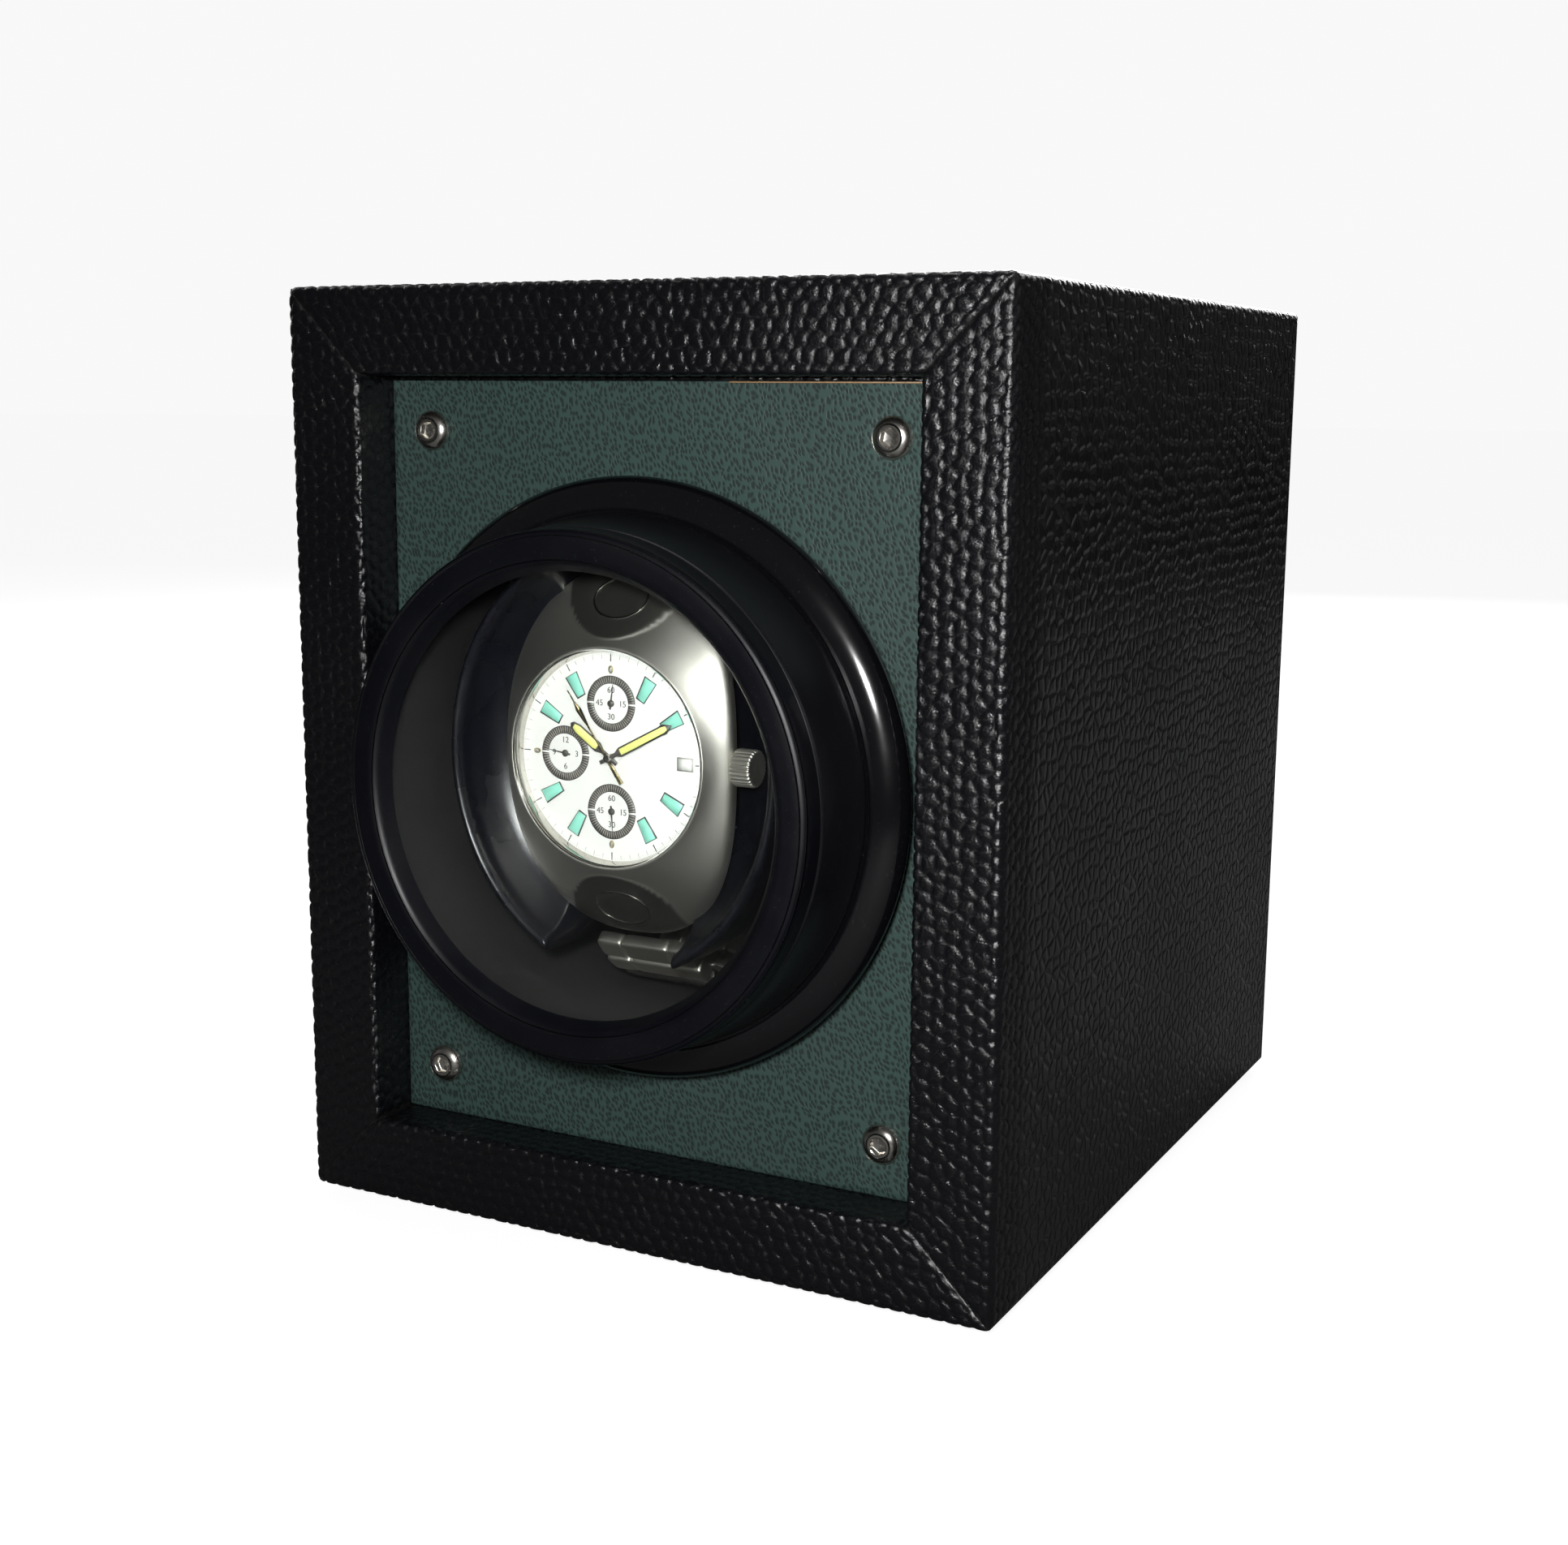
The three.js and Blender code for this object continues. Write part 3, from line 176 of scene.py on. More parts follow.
def mesh_from(name: str, points: Array, quads: Array, tris: Optional[Array] = None) -> Piece:
    """Puts whole arrays of points and faces into a mesh whose faces point outwards.

    Args:
        name: Name of the piece.
        points: (n, 3) positions in metres.
        quads: (m, 4) corner indices.
        tris: (k, 3) corner indices of end fans, or None.

    Returns:
        The object, at the origin.
    """
    tris = np.zeros((0, 3), int) if tris is None else tris
    split = np.vstack([quads[:, [0, 1, 2]], quads[:, [0, 2, 3]], tris])
    a, b, c = (points[split[:, i]] for i in range(3))
    if np.einsum("ij,ij->i", a, np.cross(b, c)).sum() < 0:
        quads, tris = quads[:, ::-1], tris[:, ::-1]
    mesh = bpy.data.meshes.new(name)
    mesh.vertices.add(len(points))
    mesh.vertices.foreach_set("co", points.astype(np.float32).ravel())
    corners = np.concatenate([quads.ravel(), tris.ravel()]).astype(np.int32)
    totals = np.concatenate([np.full(len(quads), 4), np.full(len(tris), 3)]).astype(np.int32)
    mesh.loops.add(len(corners))
    mesh.loops.foreach_set("vertex_index", corners)
    mesh.polygons.add(len(totals))
    mesh.polygons.foreach_set("loop_start", np.concatenate([[0], np.cumsum(totals)[:-1]]).astype(np.int32))
    mesh.polygons.foreach_set("loop_total", totals)
    mesh.update(calc_edges=True)
    mesh.validate()
    mesh.shade_smooth()
    return placed(name, mesh)


def grid_faces(rows: int, cols: int, wrap_rows: bool) -> Array:
    """Quads of a grid that closes on itself across its columns.

    Args:
        rows: Number of rows.
        cols: Points in a row; the last joins the first.
        wrap_rows: Whether the last row also joins the first, as on a ring.

    Returns:
        (m, 4) corner indices.
    """
    last = rows if wrap_rows else rows - 1
    r, c = np.meshgrid(np.arange(last), np.arange(cols), indexing="ij")
    below, right = (r + 1) % rows, (c + 1) % cols
    return np.stack([r * cols + c, r * cols + right, below * cols + right, below * cols + c], -1).reshape(-1, 4)


def end_fans(rows: int, cols: int) -> Array:
    """Triangles that close a grid's first and last rows to two points added after the grid's own.

    Args:
        rows: Number of rows.
        cols: Points in a row; the last joins the first.

    Returns:
        (2 cols, 3) corner indices.
    """
    around = np.arange(cols)
    after = (around + 1) % cols
    first, base = rows * cols, (rows - 1) * cols
    near = np.stack([np.full(cols, first), after, around], -1)
    return np.vstack([near, np.stack([np.full(cols, first + 1), base + around, base + after], -1)])


def loft(name: str, grid: Array, ring: bool = False) -> Piece:
    """A closed skin over a (rows, cols, 3) grid whose columns close on themselves.

    The first and last rows are closed by a fan to their middle point, unless ring is set: then the
    last row joins the first.

    Args:
        name: Name of the piece.
        grid: Positions in metres.
        ring: Whether the rows close on themselves too.

    Returns:
        The object.
    """
    rows, cols, _ = grid.shape
    points = grid.reshape(-1, 3)
    quads = grid_faces(rows, cols, ring)
    if ring:
        return mesh_from(name, points, quads)
    points = np.vstack([points, grid[0].mean(0), grid[-1].mean(0)])
    return mesh_from(name, points, quads, end_fans(rows, cols))


def rounded(corners: Sequence[tuple[float, float]], radii: Sequence[float], steps: int = 5,
            closed: bool = False) -> Array:
    """An outline whose corners are arcs: each corner of radius r is cut at r along both sides and
    filled with a quadratic arc through the cut points.

    Args:
        corners: Corner points.
        radii: Cut length at each corner; 0 keeps it sharp.
        steps: Points on each arc.
        closed: Whether the outline joins its own start.

    Returns:
        (n, 2) points.
    """
    pts = np.asarray(corners, float)
    out: list[Array] = []
    for i, (p, r) in enumerate(zip(pts, radii)):
        ends = not closed and i in (0, len(pts) - 1)
        if r <= 0 or ends:
            out.append(p[None])
            continue
        before = pts[i - 1] - p
        after = pts[(i + 1) % len(pts)] - p
        a = p + before / np.linalg.norm(before) * r
        b = p + after / np.linalg.norm(after) * r
        t = np.linspace(0, 1, steps)[:, None]
        out.append((1 - t) ** 2 * a + 2 * t * (1 - t) * p + t ** 2 * b)
    return np.vstack(out)


def resample(outline: Array, step: float | Array, closed: bool = False) -> Array:
    """Adds points along an outline so that none is further than step from the next.

    Args:
        outline: (n, 2) points.
        step: Longest gap, one value or one for each side.
        closed: Whether the last side returns to the start.

    Returns:
        (m, 2) points.
    """
    ends = np.vstack([outline[1:], outline[:1]]) if closed else outline[1:]
    starts = outline if closed else outline[:-1]
    steps = np.broadcast_to(step, (len(starts),))
    parts = []
    for a, b, gap in zip(starts, ends, steps):
        count = max(1, int(math.ceil(np.linalg.norm(b - a) / gap)))
        parts.append(a + (b - a) * (np.arange(count) / count)[:, None])
    if not closed:
        parts.append(outline[-1:])
    return np.vstack(parts)


def revolve(name: str, profile: Array, datum: Datum, sides: int = 160, ring: bool = True,
            lift: float = 0.0) -> Piece:
    """A profile of (radius, depth) carried round the cup's axis: x = r cos a, z = r sin a.

    Args:
        name: Name of the piece.
        profile: (n, 2) radii and depths in millimetres.
        datum: The frame's datums.
        sides: Points round the axis.
        ring: Whether the profile closes on itself; otherwise both ends lie on the axis.
        lift: Height of the axis above the cup's axis, in millimetres.

    Returns:
        The object.
    """
    angle = full_turn(sides)
    r, y = profile[:, 0:1], profile[:, 1:2]
    return loft(name, datum.points(r * np.cos(angle), y, lift + r * np.sin(angle), datum.axis_z), ring)


def hash01(i: Array, j: Array, salt: float) -> Array:
    """A repeatable value from 0 to 1 for each whole-number pair, from the fraction of a large sine."""
    value = np.sin(i * 127.1 + j * 311.7 + salt * 74.7) * 43758.5453
    return value - np.floor(value)


def pebbles(u: Array, v: Array, size: float) -> Array:
    """Height from 0 to 1 of a pebble grain over a surface measured as (u, v) in millimetres.

    One seed stands in each cell of a grid of the given size, moved about within it. The height
    rises from the line halfway between the nearest two seeds, and rounds off towards each seed.

    Args:
        u: First surface length.
        v: Second surface length, the same shape.
        size: Pebble pitch.

    Returns:
        Heights, the same shape.
    """
    gu, gv = u / size, v / (size * 0.86)
    cu, cv = np.floor(gu), np.floor(gv)
    near = np.full(u.shape, 9.0)
    second = np.full(u.shape, 9.0)
    for du in (-1, 0, 1):
        for dv in (-1, 0, 1):
            iu, iv = cu + du, cv + dv
            su = iu + 0.5 * np.mod(iv, 2) + 0.6 * (hash01(iu, iv, 1.0) - 0.5)
            sv = iv + 0.5 + 0.55 * (hash01(iu, iv, 2.0) - 0.5)
            d = np.hypot(gu - su, (gv - sv) * 0.86)
            second = np.where(d < near, near, np.minimum(second, d))
            near = np.minimum(near, d)
    rise = np.clip((second - near) / 0.62, 0, 1)
    return np.sqrt(1 - (1 - rise) ** 2)


def smoothstep(low: float, high: float, value: Array) -> Array:
    """0 below low, 1 above high, and a smooth rise between them."""
    t = np.clip((value - low) / (high - low), 0, 1)
    return t * t * (3 - 2 * t)


def full_turn(count: int) -> Array:
    """Angles of a number of points spaced evenly round a full turn."""
    return np.linspace(0, 2 * np.pi, count, endpoint=False)


def eased(count: int) -> Array:
    """Values from -1 to 1 that stand closer together towards both ends: the sine of even steps."""
    return np.sin(np.linspace(-np.pi / 2, np.pi / 2, count))


def squared_circle(angle: Array, power: float) -> tuple[Array, Array]:
    """Points of |u|^p + |v|^p = 1: the sign of cosine and sine times their size to the power 2 / p.

    Args:
        angle: Angles round the middle.
        power: The power p; the higher it is, the squarer the outline.

    Returns:
        The two coordinates.
    """
    c, s = np.cos(angle), np.sin(angle)
    return np.sign(c) * np.abs(c) ** (2 / power), np.sign(s) * np.abs(s) ** (2 / power)


def mirrored(half: Sequence[tuple[float, float]]) -> Array:
    """A symmetric outline from its right half, listed from the foot up; a tip on the middle line
    is kept once.

    Args:
        half: (x, z) points with x from 0 upwards.

    Returns:
        (n, 2) points, starting at the left of the foot.
    """
    right = np.asarray(half, float)
    left = right[::-1] * (-1, 1)
    if right[-1, 0] == 0:
        left = left[1:]
    return np.vstack([left[-1:], right, left[:-1]])


def give_attribute(obj: Piece, name: str, values: Array) -> None:
    """Stores one number for each of the first vertices of a piece; added end points get 0.

    Args:
        obj: The piece.
        name: Name that the finish reads it by.
        values: The numbers, in the order of the piece's grid.
    """
    full = np.zeros(len(obj.data.vertices), np.float32)
    full[:values.size] = values.ravel()
    obj.data.attributes.new(name, "FLOAT", "POINT").data.foreach_set("value", full)


def give_sheet(obj: Piece, u: Array, v: Array) -> None:
    """Lays a sheet's own lengths, in metres, over a piece as its UV map.

    Args:
        obj: The piece.
        u: Length along it for each of its first vertices, in millimetres.
        v: Length across it, the same shape.
    """
    mesh = obj.data
    corner = np.zeros(len(mesh.loops), np.int32)
    mesh.loops.foreach_get("vertex_index", corner)
    full = np.zeros((len(mesh.vertices), 2), np.float32)
    full[:u.size, 0], full[:u.size, 1] = u.ravel() * MM, v.ravel() * MM
    mesh.uv_layers.new(name="sheet").data.foreach_set("uv", full[corner].ravel())


# ---- shader groups and finishes


class Wire:
    """Adds and joins nodes in one tree, with plain names for the common ones."""

    def __init__(self, tree: bpy.types.NodeTree) -> None:
        """Keeps the node tree to work in."""
        self.tree = tree

    def feed(self, node: Node, inputs: dict) -> None:
        """Sets or links inputs of a node.

        Args:
            node: The node.
            inputs: Input name or index to a value or an output socket.
        """
        for key, value in inputs.items():
            if isinstance(value, Socket):
                self.tree.links.new(value, node.inputs[key])
            else:
                node.inputs[key].default_value = value

    def node(self, kind: str, inputs: Optional[dict] = None, **settings: object) -> Node:
        """Adds a node, sets its properties, and sets or links its inputs.

        Args:
            kind: Blender's node type.
            inputs: Input name or index to a value or an output socket.
            **settings: Node properties.

        Returns:
            The node.
        """
        made = self.tree.nodes.new(kind)
        for key, value in settings.items():
            setattr(made, key, value)
        self.feed(made, inputs or {})
        return made

    def attribute(self, name: str) -> Socket:
        """A number stored on the piece's vertices."""
        return self.node("ShaderNodeAttribute", attribute_name=name).outputs["Fac"]

    def noise(self, vector: Socket, scale: float | Socket, detail: float = 3.0, rough: float = 0.5) -> Socket:
        """The value of a noise texture."""
        inputs = {"Vector": vector, "Scale": scale, "Detail": detail, "Roughness": rough}
        return self.node("ShaderNodeTexNoise", inputs).outputs["Fac"]

    def span(self, value: Socket, low: float, high: float, to_low: float = 0.0,
             to_high: float = 1.0) -> Socket:
        """A value carried smoothly from one range to another and held at its ends."""
        inputs = {"Value": value, "From Min": low, "From Max": high, "To Min": to_low, "To Max": to_high}
        return self.node("ShaderNodeMapRange", inputs, interpolation_type="SMOOTHSTEP").outputs["Result"]

    def math(self, operation: str, a: object, b: object = 0.0) -> Socket:
        """One arithmetic step."""
        return self.node("ShaderNodeMath", {0: a, 1: b}, operation=operation).outputs[0]

    def mix(self, mask: object, a: object, b: object) -> Socket:
        """Colour a where mask is 0 and b where it is 1; each may be a value or an output socket."""
        first, second = ((*c, 1.0) if isinstance(c, tuple) else c for c in (a, b))
        return self.node("ShaderNodeMix", {0: mask, 6: first, 7: second}, data_type="RGBA").outputs[2]

    def stretch(self, vector: Socket, scale: Colour) -> Socket:
        """The coordinates drawn out by a factor on each axis."""
        return self.node("ShaderNodeMapping", {"Vector": vector, "Scale": scale}).outputs["Vector"]


class Mapping(Enum):
    """What a pattern is laid out on."""

    SOLID = "the piece's own space"
    SHEET = "the wrapped sheet"


class Pattern(Enum):
    """The shared surface effects, each built once as a shader group."""

    PEBBLE = "pebble grain"
    SHEET_PEBBLE = "pebble grain of a sheet"
    DIMPLE = "dimpled grain"
    HANDLING = "handling marks"
    BRUSHED = "brushed lines"


class Group:
    """A shader group being built: a coordinate and a scale go in; height, a mask of creases and marks, and a
    random tone come out. In the pebble and dimple groups the finish darkens the creases and pits of that mask
    as painted shade; in the others the mask marks dust or brushed lines.
    """

    def __init__(self, pattern: Pattern) -> None:
        """Opens an empty group.

        Args:
            pattern: The pattern that it makes, whose name it takes.
        """
        tree = bpy.data.node_groups.new(pattern.value, "ShaderNodeTree")
        tree.interface.new_socket("Vector", in_out="INPUT", socket_type="NodeSocketVector")
        tree.interface.new_socket("Scale", in_out="INPUT", socket_type="NodeSocketFloat")
        for name in ("Height", "Crease", "Shade"):
            tree.interface.new_socket(name, in_out="OUTPUT", socket_type="NodeSocketFloat")
        self.wire = Wire(tree)
        source = self.wire.node("NodeGroupInput")
        self.place, self.scale = source.outputs["Vector"], source.outputs["Scale"]
        self.sink = self.wire.node("NodeGroupOutput")

    def scaled(self, factor: float) -> Socket:
        """A multiple of the group's own scale."""
        return self.wire.math("MULTIPLY", self.scale, factor)

    def noise(self, factor: float, detail: float = 3.0) -> Socket:
        """Noise at a multiple of the group's own scale."""
        return self.wire.noise(self.place, self.scaled(factor), detail)

    def wavering(self, factor: float, push: float) -> Socket:
        """The coordinate pushed about by a soft noise, so that cells on it stand less evenly.

        Args:
            factor: The noise's scale as a multiple of the group's own.
            push: Furthest push in metres.

        Returns:
            The moved coordinate.
        """
        wobble = self.wire.node("ShaderNodeTexNoise", {
            "Vector": self.place, "Scale": self.scaled(factor), "Detail": 2.0,
        }).outputs["Color"]
        shift = self.wire.node("ShaderNodeVectorMath", {0: wobble, "Scale": push}, operation="SCALE").outputs[0]
        return self.wire.node("ShaderNodeVectorMath", {0: self.place, 1: shift}, operation="ADD").outputs[0]

    def finished(self, height: Socket, crease: Socket, shade: Socket) -> bpy.types.NodeTree:
        """The group's tree, once its three outputs are joined up."""
        self.wire.feed(self.sink, {"Height": height, "Crease": crease, "Shade": shade})
        return self.wire.tree


def build_pebble(pattern: Pattern = Pattern.PEBBLE, dimensions: str = "3D") -> bpy.types.NodeTree:
    """Rounded cells with narrow creases; Scale is cells per metre. The finishes darken its mask of creases as
    painted shade.

    Args:
        pattern: Which of the two pebble patterns it makes.
        dimensions: Whether its cells fill space or lie on a sheet.

    Returns:
        The group's tree.
    """
    group = Group(pattern)
    wire = group.wire
    cells = wire.node("ShaderNodeTexVoronoi", {
        "Vector": group.wavering(0.45, 0.0011), "Scale": group.scale, "Randomness": 0.8,
    }, feature="DISTANCE_TO_EDGE", voronoi_dimensions=dimensions).outputs["Distance"]
    dome = wire.math("MULTIPLY", wire.span(cells, 0.0, 0.3), 0.9)
    height = wire.math("ADD", dome, wire.math("MULTIPLY", group.noise(5.0), 0.14))
    # The second output marks the creases, which the finishes darken as painted shade.
    return group.finished(height, wire.span(cells, 0.0, 0.1, 1.0, 0.0), group.noise(0.06, 4.0))


def build_dimple() -> bpy.types.NodeTree:
    """Small pits set close together in wavering, leaning rows; Scale is pits per metre. The finish darkens the
    pits as painted shade.

    Returns:
        The group's tree.
    """
    group = Group(Pattern.DIMPLE)
    wire = group.wire
    parts = wire.node("ShaderNodeSeparateXYZ", {0: group.wavering(0.16, 0.0022)}).outputs
    drawn = wire.node("ShaderNodeCombineXYZ", {
        0: wire.math("ADD", parts["X"], wire.math("MULTIPLY", parts["Z"], 0.25)),
        1: wire.math("MULTIPLY", parts["Z"], 0.66),
    }).outputs[0]
    pits = wire.node("ShaderNodeTexVoronoi", {
        "Vector": drawn, "Scale": group.scale, "Randomness": 0.85,
    }, feature="F1", voronoi_dimensions="2D").outputs["Distance"]
    pit = wire.span(pits, 0.16, 0.56, 1.0, 0.0)
    # The pit mask goes out second; the finish darkens the pits with it as painted shade.
    return group.finished(wire.math("SUBTRACT", 1.0, pit), pit, group.noise(0.03, 4.0))


def build_handling() -> bpy.types.NodeTree:
    """Faint smudges, thin scratches and settled dust; Scale is smudges per metre.

    Returns:
        The group's tree.
    """
    group = Group(Pattern.HANDLING)
    wire = group.wire
    streak = wire.noise(wire.stretch(group.place, (9.0, 1.0, 2.0)), group.scaled(6.0), 2.0)
    specks = wire.node("ShaderNodeTexVoronoi", {"Vector": group.place, "Scale": group.scaled(14.0)})
    dust = wire.span(specks.outputs["Distance"], 0.02, 0.06, 1.0, 0.0)
    return group.finished(streak, dust, group.noise(1.0, 5.0))


def build_brushed() -> bpy.types.NodeTree:
    """Fine lines along Z with broad tone changes; Scale is lines per metre.

    Returns:
        The group's tree.
    """
    group = Group(Pattern.BRUSHED)
    wire = group.wire
    lines = wire.noise(wire.stretch(group.place, (1.0, 1.0, 0.04)), group.scale)
    return group.finished(lines, wire.span(lines, 0.62, 0.7), group.noise(0.02))


GROUP_MAKERS: dict[Pattern, Callable[[], bpy.types.NodeTree]] = {
    Pattern.PEBBLE: build_pebble,
    Pattern.SHEET_PEBBLE: lambda: build_pebble(Pattern.SHEET_PEBBLE, "2D"),
    Pattern.DIMPLE: build_dimple,
    Pattern.HANDLING: build_handling,
    Pattern.BRUSHED: build_brushed,
}


def group_of(pattern: Pattern) -> bpy.types.NodeTree:
    """The shader group of a pattern, made the first time it is asked for."""
    return bpy.data.node_groups.get(pattern.value) or GROUP_MAKERS[pattern]()


def new_material(name: str) -> tuple[bpy.types.Material, Wire, Node, Socket]:
    """A material with only its shader in it.

    Args:
        name: Name of the material.

    Returns:
        The material, its wire, its shader, and the coordinates in the piece's own space.
    """
    made = bpy.data.materials.new(name)
    made.use_nodes = True
    wire = Wire(made.node_tree)
    place = wire.node("ShaderNodeTexCoord").outputs["Object"]
    return made, wire, made.node_tree.nodes["Principled BSDF"], place


@dataclass(frozen=True)
class Finish:
    """One surface finish: a pattern laid over a base colour, with gloss that follows it. Its second colour is
    painted shade where the pattern marks creases and pits, and dust and line colour in the other patterns.
    """

    name: str
    colour: Colour
    # Second colour, laid in by the pattern's mask: painted shade in pebble creases and dimple pits, dust specks
    # and brushed lines in the other patterns.
    crease: Colour
    roughness: float
    rough_swing: float = 0.1
    metallic: float = 0.0
    pattern: Pattern = Pattern.HANDLING
    scale: float = 60.0
    crease_mix: float = 0.5
    shade_mix: float = 0.25
    bump: float = 0.1
    bump_mm: float = 0.05
    coat: float = 0.0
    coat_roughness: float = 0.08
    specular: float = 0.5
    dust: float = 0.0
    dust_colour: Colour = (0.5, 0.5, 0.5)
    shade_depth: float = 0.55
    mapping: Mapping = Mapping.SOLID
    seam: Optional[Colour] = None
    accent: Optional[Colour] = None
    carved: bool = False

    def material(self) -> bpy.types.Material:
        """The finish as a material, made once.

        Returns:
            The material of this name.
        """
        known = bpy.data.materials.get(self.name)
        if known:
            return known
        made, wire, shader, place = new_material(self.name)
        sheet = self.mapping is Mapping.SHEET
        laid = wire.node("ShaderNodeUVMap", uv_map="sheet").outputs[0] if sheet else place
        effect = wire.node("ShaderNodeGroup", {"Vector": laid, "Scale": self.scale},
                           node_tree=group_of(self.pattern))
        crease = wire.math("MULTIPLY", effect.outputs["Crease"], self.crease_mix)
        tone = wire.math("MULTIPLY", wire.span(effect.outputs["Shade"], 0.3, 0.7), self.shade_mix)
        deep = tuple(c * self.shade_depth for c in self.colour)
        colour = wire.mix(tone, self.colour, deep)
        # Painted shade in pebble creases and dimple pits; dust specks and brushed lines in the other patterns.
        colour = wire.mix(crease, colour, self.crease)
        if self.dust > 0:
            specks = wire.span(wire.noise(place, 2600.0, 1.0), 0.7, 0.76)
            colour = wire.mix(wire.math("MULTIPLY", specks, self.dust), colour, self.dust_colour)
        if self.seam:
            worn = wire.span(wire.noise(place, 900.0), 0.35, 0.6, 0.25, 1.0)
            colour = wire.mix(wire.math("MULTIPLY", wire.attribute("seam"), worn), colour, self.seam)
        if self.accent:
            colour = wire.mix(wire.attribute("accent"), colour, self.accent)
        low, high = self.roughness - self.rough_swing, self.roughness + self.rough_swing
        gloss = wire.span(effect.outputs["Shade"], 0.25, 0.75, max(low, 0.02), high)
        gloss = wire.math("ADD", gloss, wire.math("MULTIPLY", crease, 0.25))
        relief = effect.outputs["Height"]
        if self.carved:
            shaped = wire.attribute("carved")
            fine = wire.math("MULTIPLY", wire.noise(place, 2400.0, 4.0, 0.6), 0.4)
            flat = wire.math("MULTIPLY", relief, wire.math("SUBTRACT", 1.0, shaped))
            relief = wire.math("ADD", flat, wire.math("MULTIPLY", fine, shaped))
        bump = wire.node("ShaderNodeBump", {
            "Strength": self.bump, "Distance": self.bump_mm * MM, "Height": relief,
        })
        wire.feed(shader, {
            "Base Color": colour, "Roughness": gloss, "Normal": bump.outputs["Normal"],
            "Metallic": self.metallic, "Coat Weight": self.coat, "Coat Roughness": self.coat_roughness,
            "Specular IOR Level": self.specular,
        })
        return made


@dataclass(frozen=True)
class Clear:
    """Clear acrylic or mineral glass that lets lamps through to what is behind it."""

    name: str
    tint: Colour = (0.97, 0.985, 0.98)
    roughness: float = 0.012
    wiped: float = 0.04
    ior: float = 1.45

    def material(self) -> bpy.types.Material:
        """The clear material, made once, with faint wiping marks in its gloss.

        Returns:
            The material of this name.
        """
        known = bpy.data.materials.get(self.name)
        if known:
            return known
        made, wire, shader, place = new_material(self.name)
        wire.feed(shader, {
            "Roughness": wire.span(wire.noise(place, 70.0, 4.0), 0.4, 0.75, self.roughness,
                                   self.roughness + self.wiped),
            "Base Color": (*self.tint, 1.0), "Transmission Weight": 1.0, "IOR": self.ior,
        })
        passing = wire.node("ShaderNodeLightPath").outputs["Is Shadow Ray"]
        through = wire.node("ShaderNodeBsdfTransparent", {"Color": (*self.tint, 1.0)}).outputs[0]
        blend = wire.node("ShaderNodeMixShader", {0: passing, 1: shader.outputs[0], 2: through})
        wire.feed(made.node_tree.nodes["Material Output"], {"Surface": blend.outputs[0]})
        return made


BRUSHED_METAL = partial(Finish, metallic=1.0, pattern=Pattern.BRUSHED)

# Its second colour, darker than the first, is painted shade in the pebble creases.
LEATHER_BLACK = Finish(
    "pebble leatherette", (0.0026, 0.0027, 0.0037), (0.0012, 0.0012, 0.0015), 0.26, 0.06,
    pattern=Pattern.SHEET_PEBBLE, scale=395.0, crease_mix=0.6, bump=0.7, bump_mm=0.35,
    mapping=Mapping.SHEET, seam=(0.015, 0.015, 0.015), carved=True,
)
# Its second colour, darker than the first, is painted shade in the pebble creases.
LEATHER_BACK = Finish(
    "pebble leatherette back", (0.0026, 0.0027, 0.0037), (0.0012, 0.0012, 0.0015), 0.29, 0.06,
    pattern=Pattern.PEBBLE, scale=395.0, crease_mix=0.6, bump=0.7, bump_mm=0.35,
)
# Its second colour, darker than the first, is painted shade in the dimple pits.
LEATHER_GREEN = Finish(
    "green dimpled leather", (0.036, 0.066, 0.058), (0.006, 0.015, 0.013), 0.46, 0.06,
    pattern=Pattern.DIMPLE, scale=1450.0, crease_mix=0.9, shade_mix=0.3, bump=0.55, bump_mm=0.08,
    specular=0.42,
)
BLACK_GLOSS = Finish(
    "polished black", (0.0028, 0.0028, 0.0036), (0.012, 0.012, 0.012), 0.15, 0.05, scale=45.0,
    crease_mix=0.02, bump=0.02, coat=0.4, dust=0.02,
)
BLACK_SATIN = Finish(
    "satin black", (0.004, 0.004, 0.0055), (0.014, 0.014, 0.016), 0.34, 0.06, scale=45.0,
    crease_mix=0.05, bump=0.04, dust=0.03,
)
# The cup's black plastic drawn lighter grey on its inner wall: painted sheen standing in for light reflected
# there.
CUP_INSIDE_PAINTED_SHEEN = Finish(
    "cup inside painted sheen", (0.018, 0.018, 0.0175), (0.008, 0.008, 0.008), 0.42, 0.06, scale=35.0,
    crease_mix=0.05, bump=0.02, dust=0.03,
)
RING_RUBBER = Finish(
    "soft ring rubber", (0.0015, 0.0017, 0.0034), (0.006, 0.006, 0.008), 0.42, 0.06, scale=90.0,
    crease_mix=0.04, bump=0.06, dust=0.02, specular=0.28,
)
CUFF_SOFT = Finish(
    "soft-touch cuff", (0.0022, 0.0025, 0.0042), (0.008, 0.008, 0.01), 0.3, 0.06, scale=70.0,
    crease_mix=0.04, bump=0.06, dust=0.015, specular=0.35,
)
STAINLESS = BRUSHED_METAL(
    "bright stainless", (0.60, 0.575, 0.53), (0.16, 0.12, 0.08), 0.24, 0.08, scale=2600.0, bump=0.12,
    bump_mm=0.02,
)
STEEL = BRUSHED_METAL(
    "plain steel", (0.42, 0.43, 0.45), (0.14, 0.13, 0.12), 0.34, 0.08, scale=1600.0, bump=0.12,
    bump_mm=0.02,
)
TITANIUM = BRUSHED_METAL(
    "satin titanium", (0.56, 0.545, 0.49), (0.40, 0.39, 0.35), 0.4, 0.03, scale=3800.0,
    crease_mix=0.15, shade_mix=0.05, bump=0.05, bump_mm=0.01, accent=(0.10, 0.097, 0.088),
)
POLISHED = Finish(
    "polished rim", (0.66, 0.64, 0.59), (0.4, 0.38, 0.34), 0.12, 0.03, metallic=1.0, scale=120.0,
    crease_mix=0.05, bump=0.02,
)
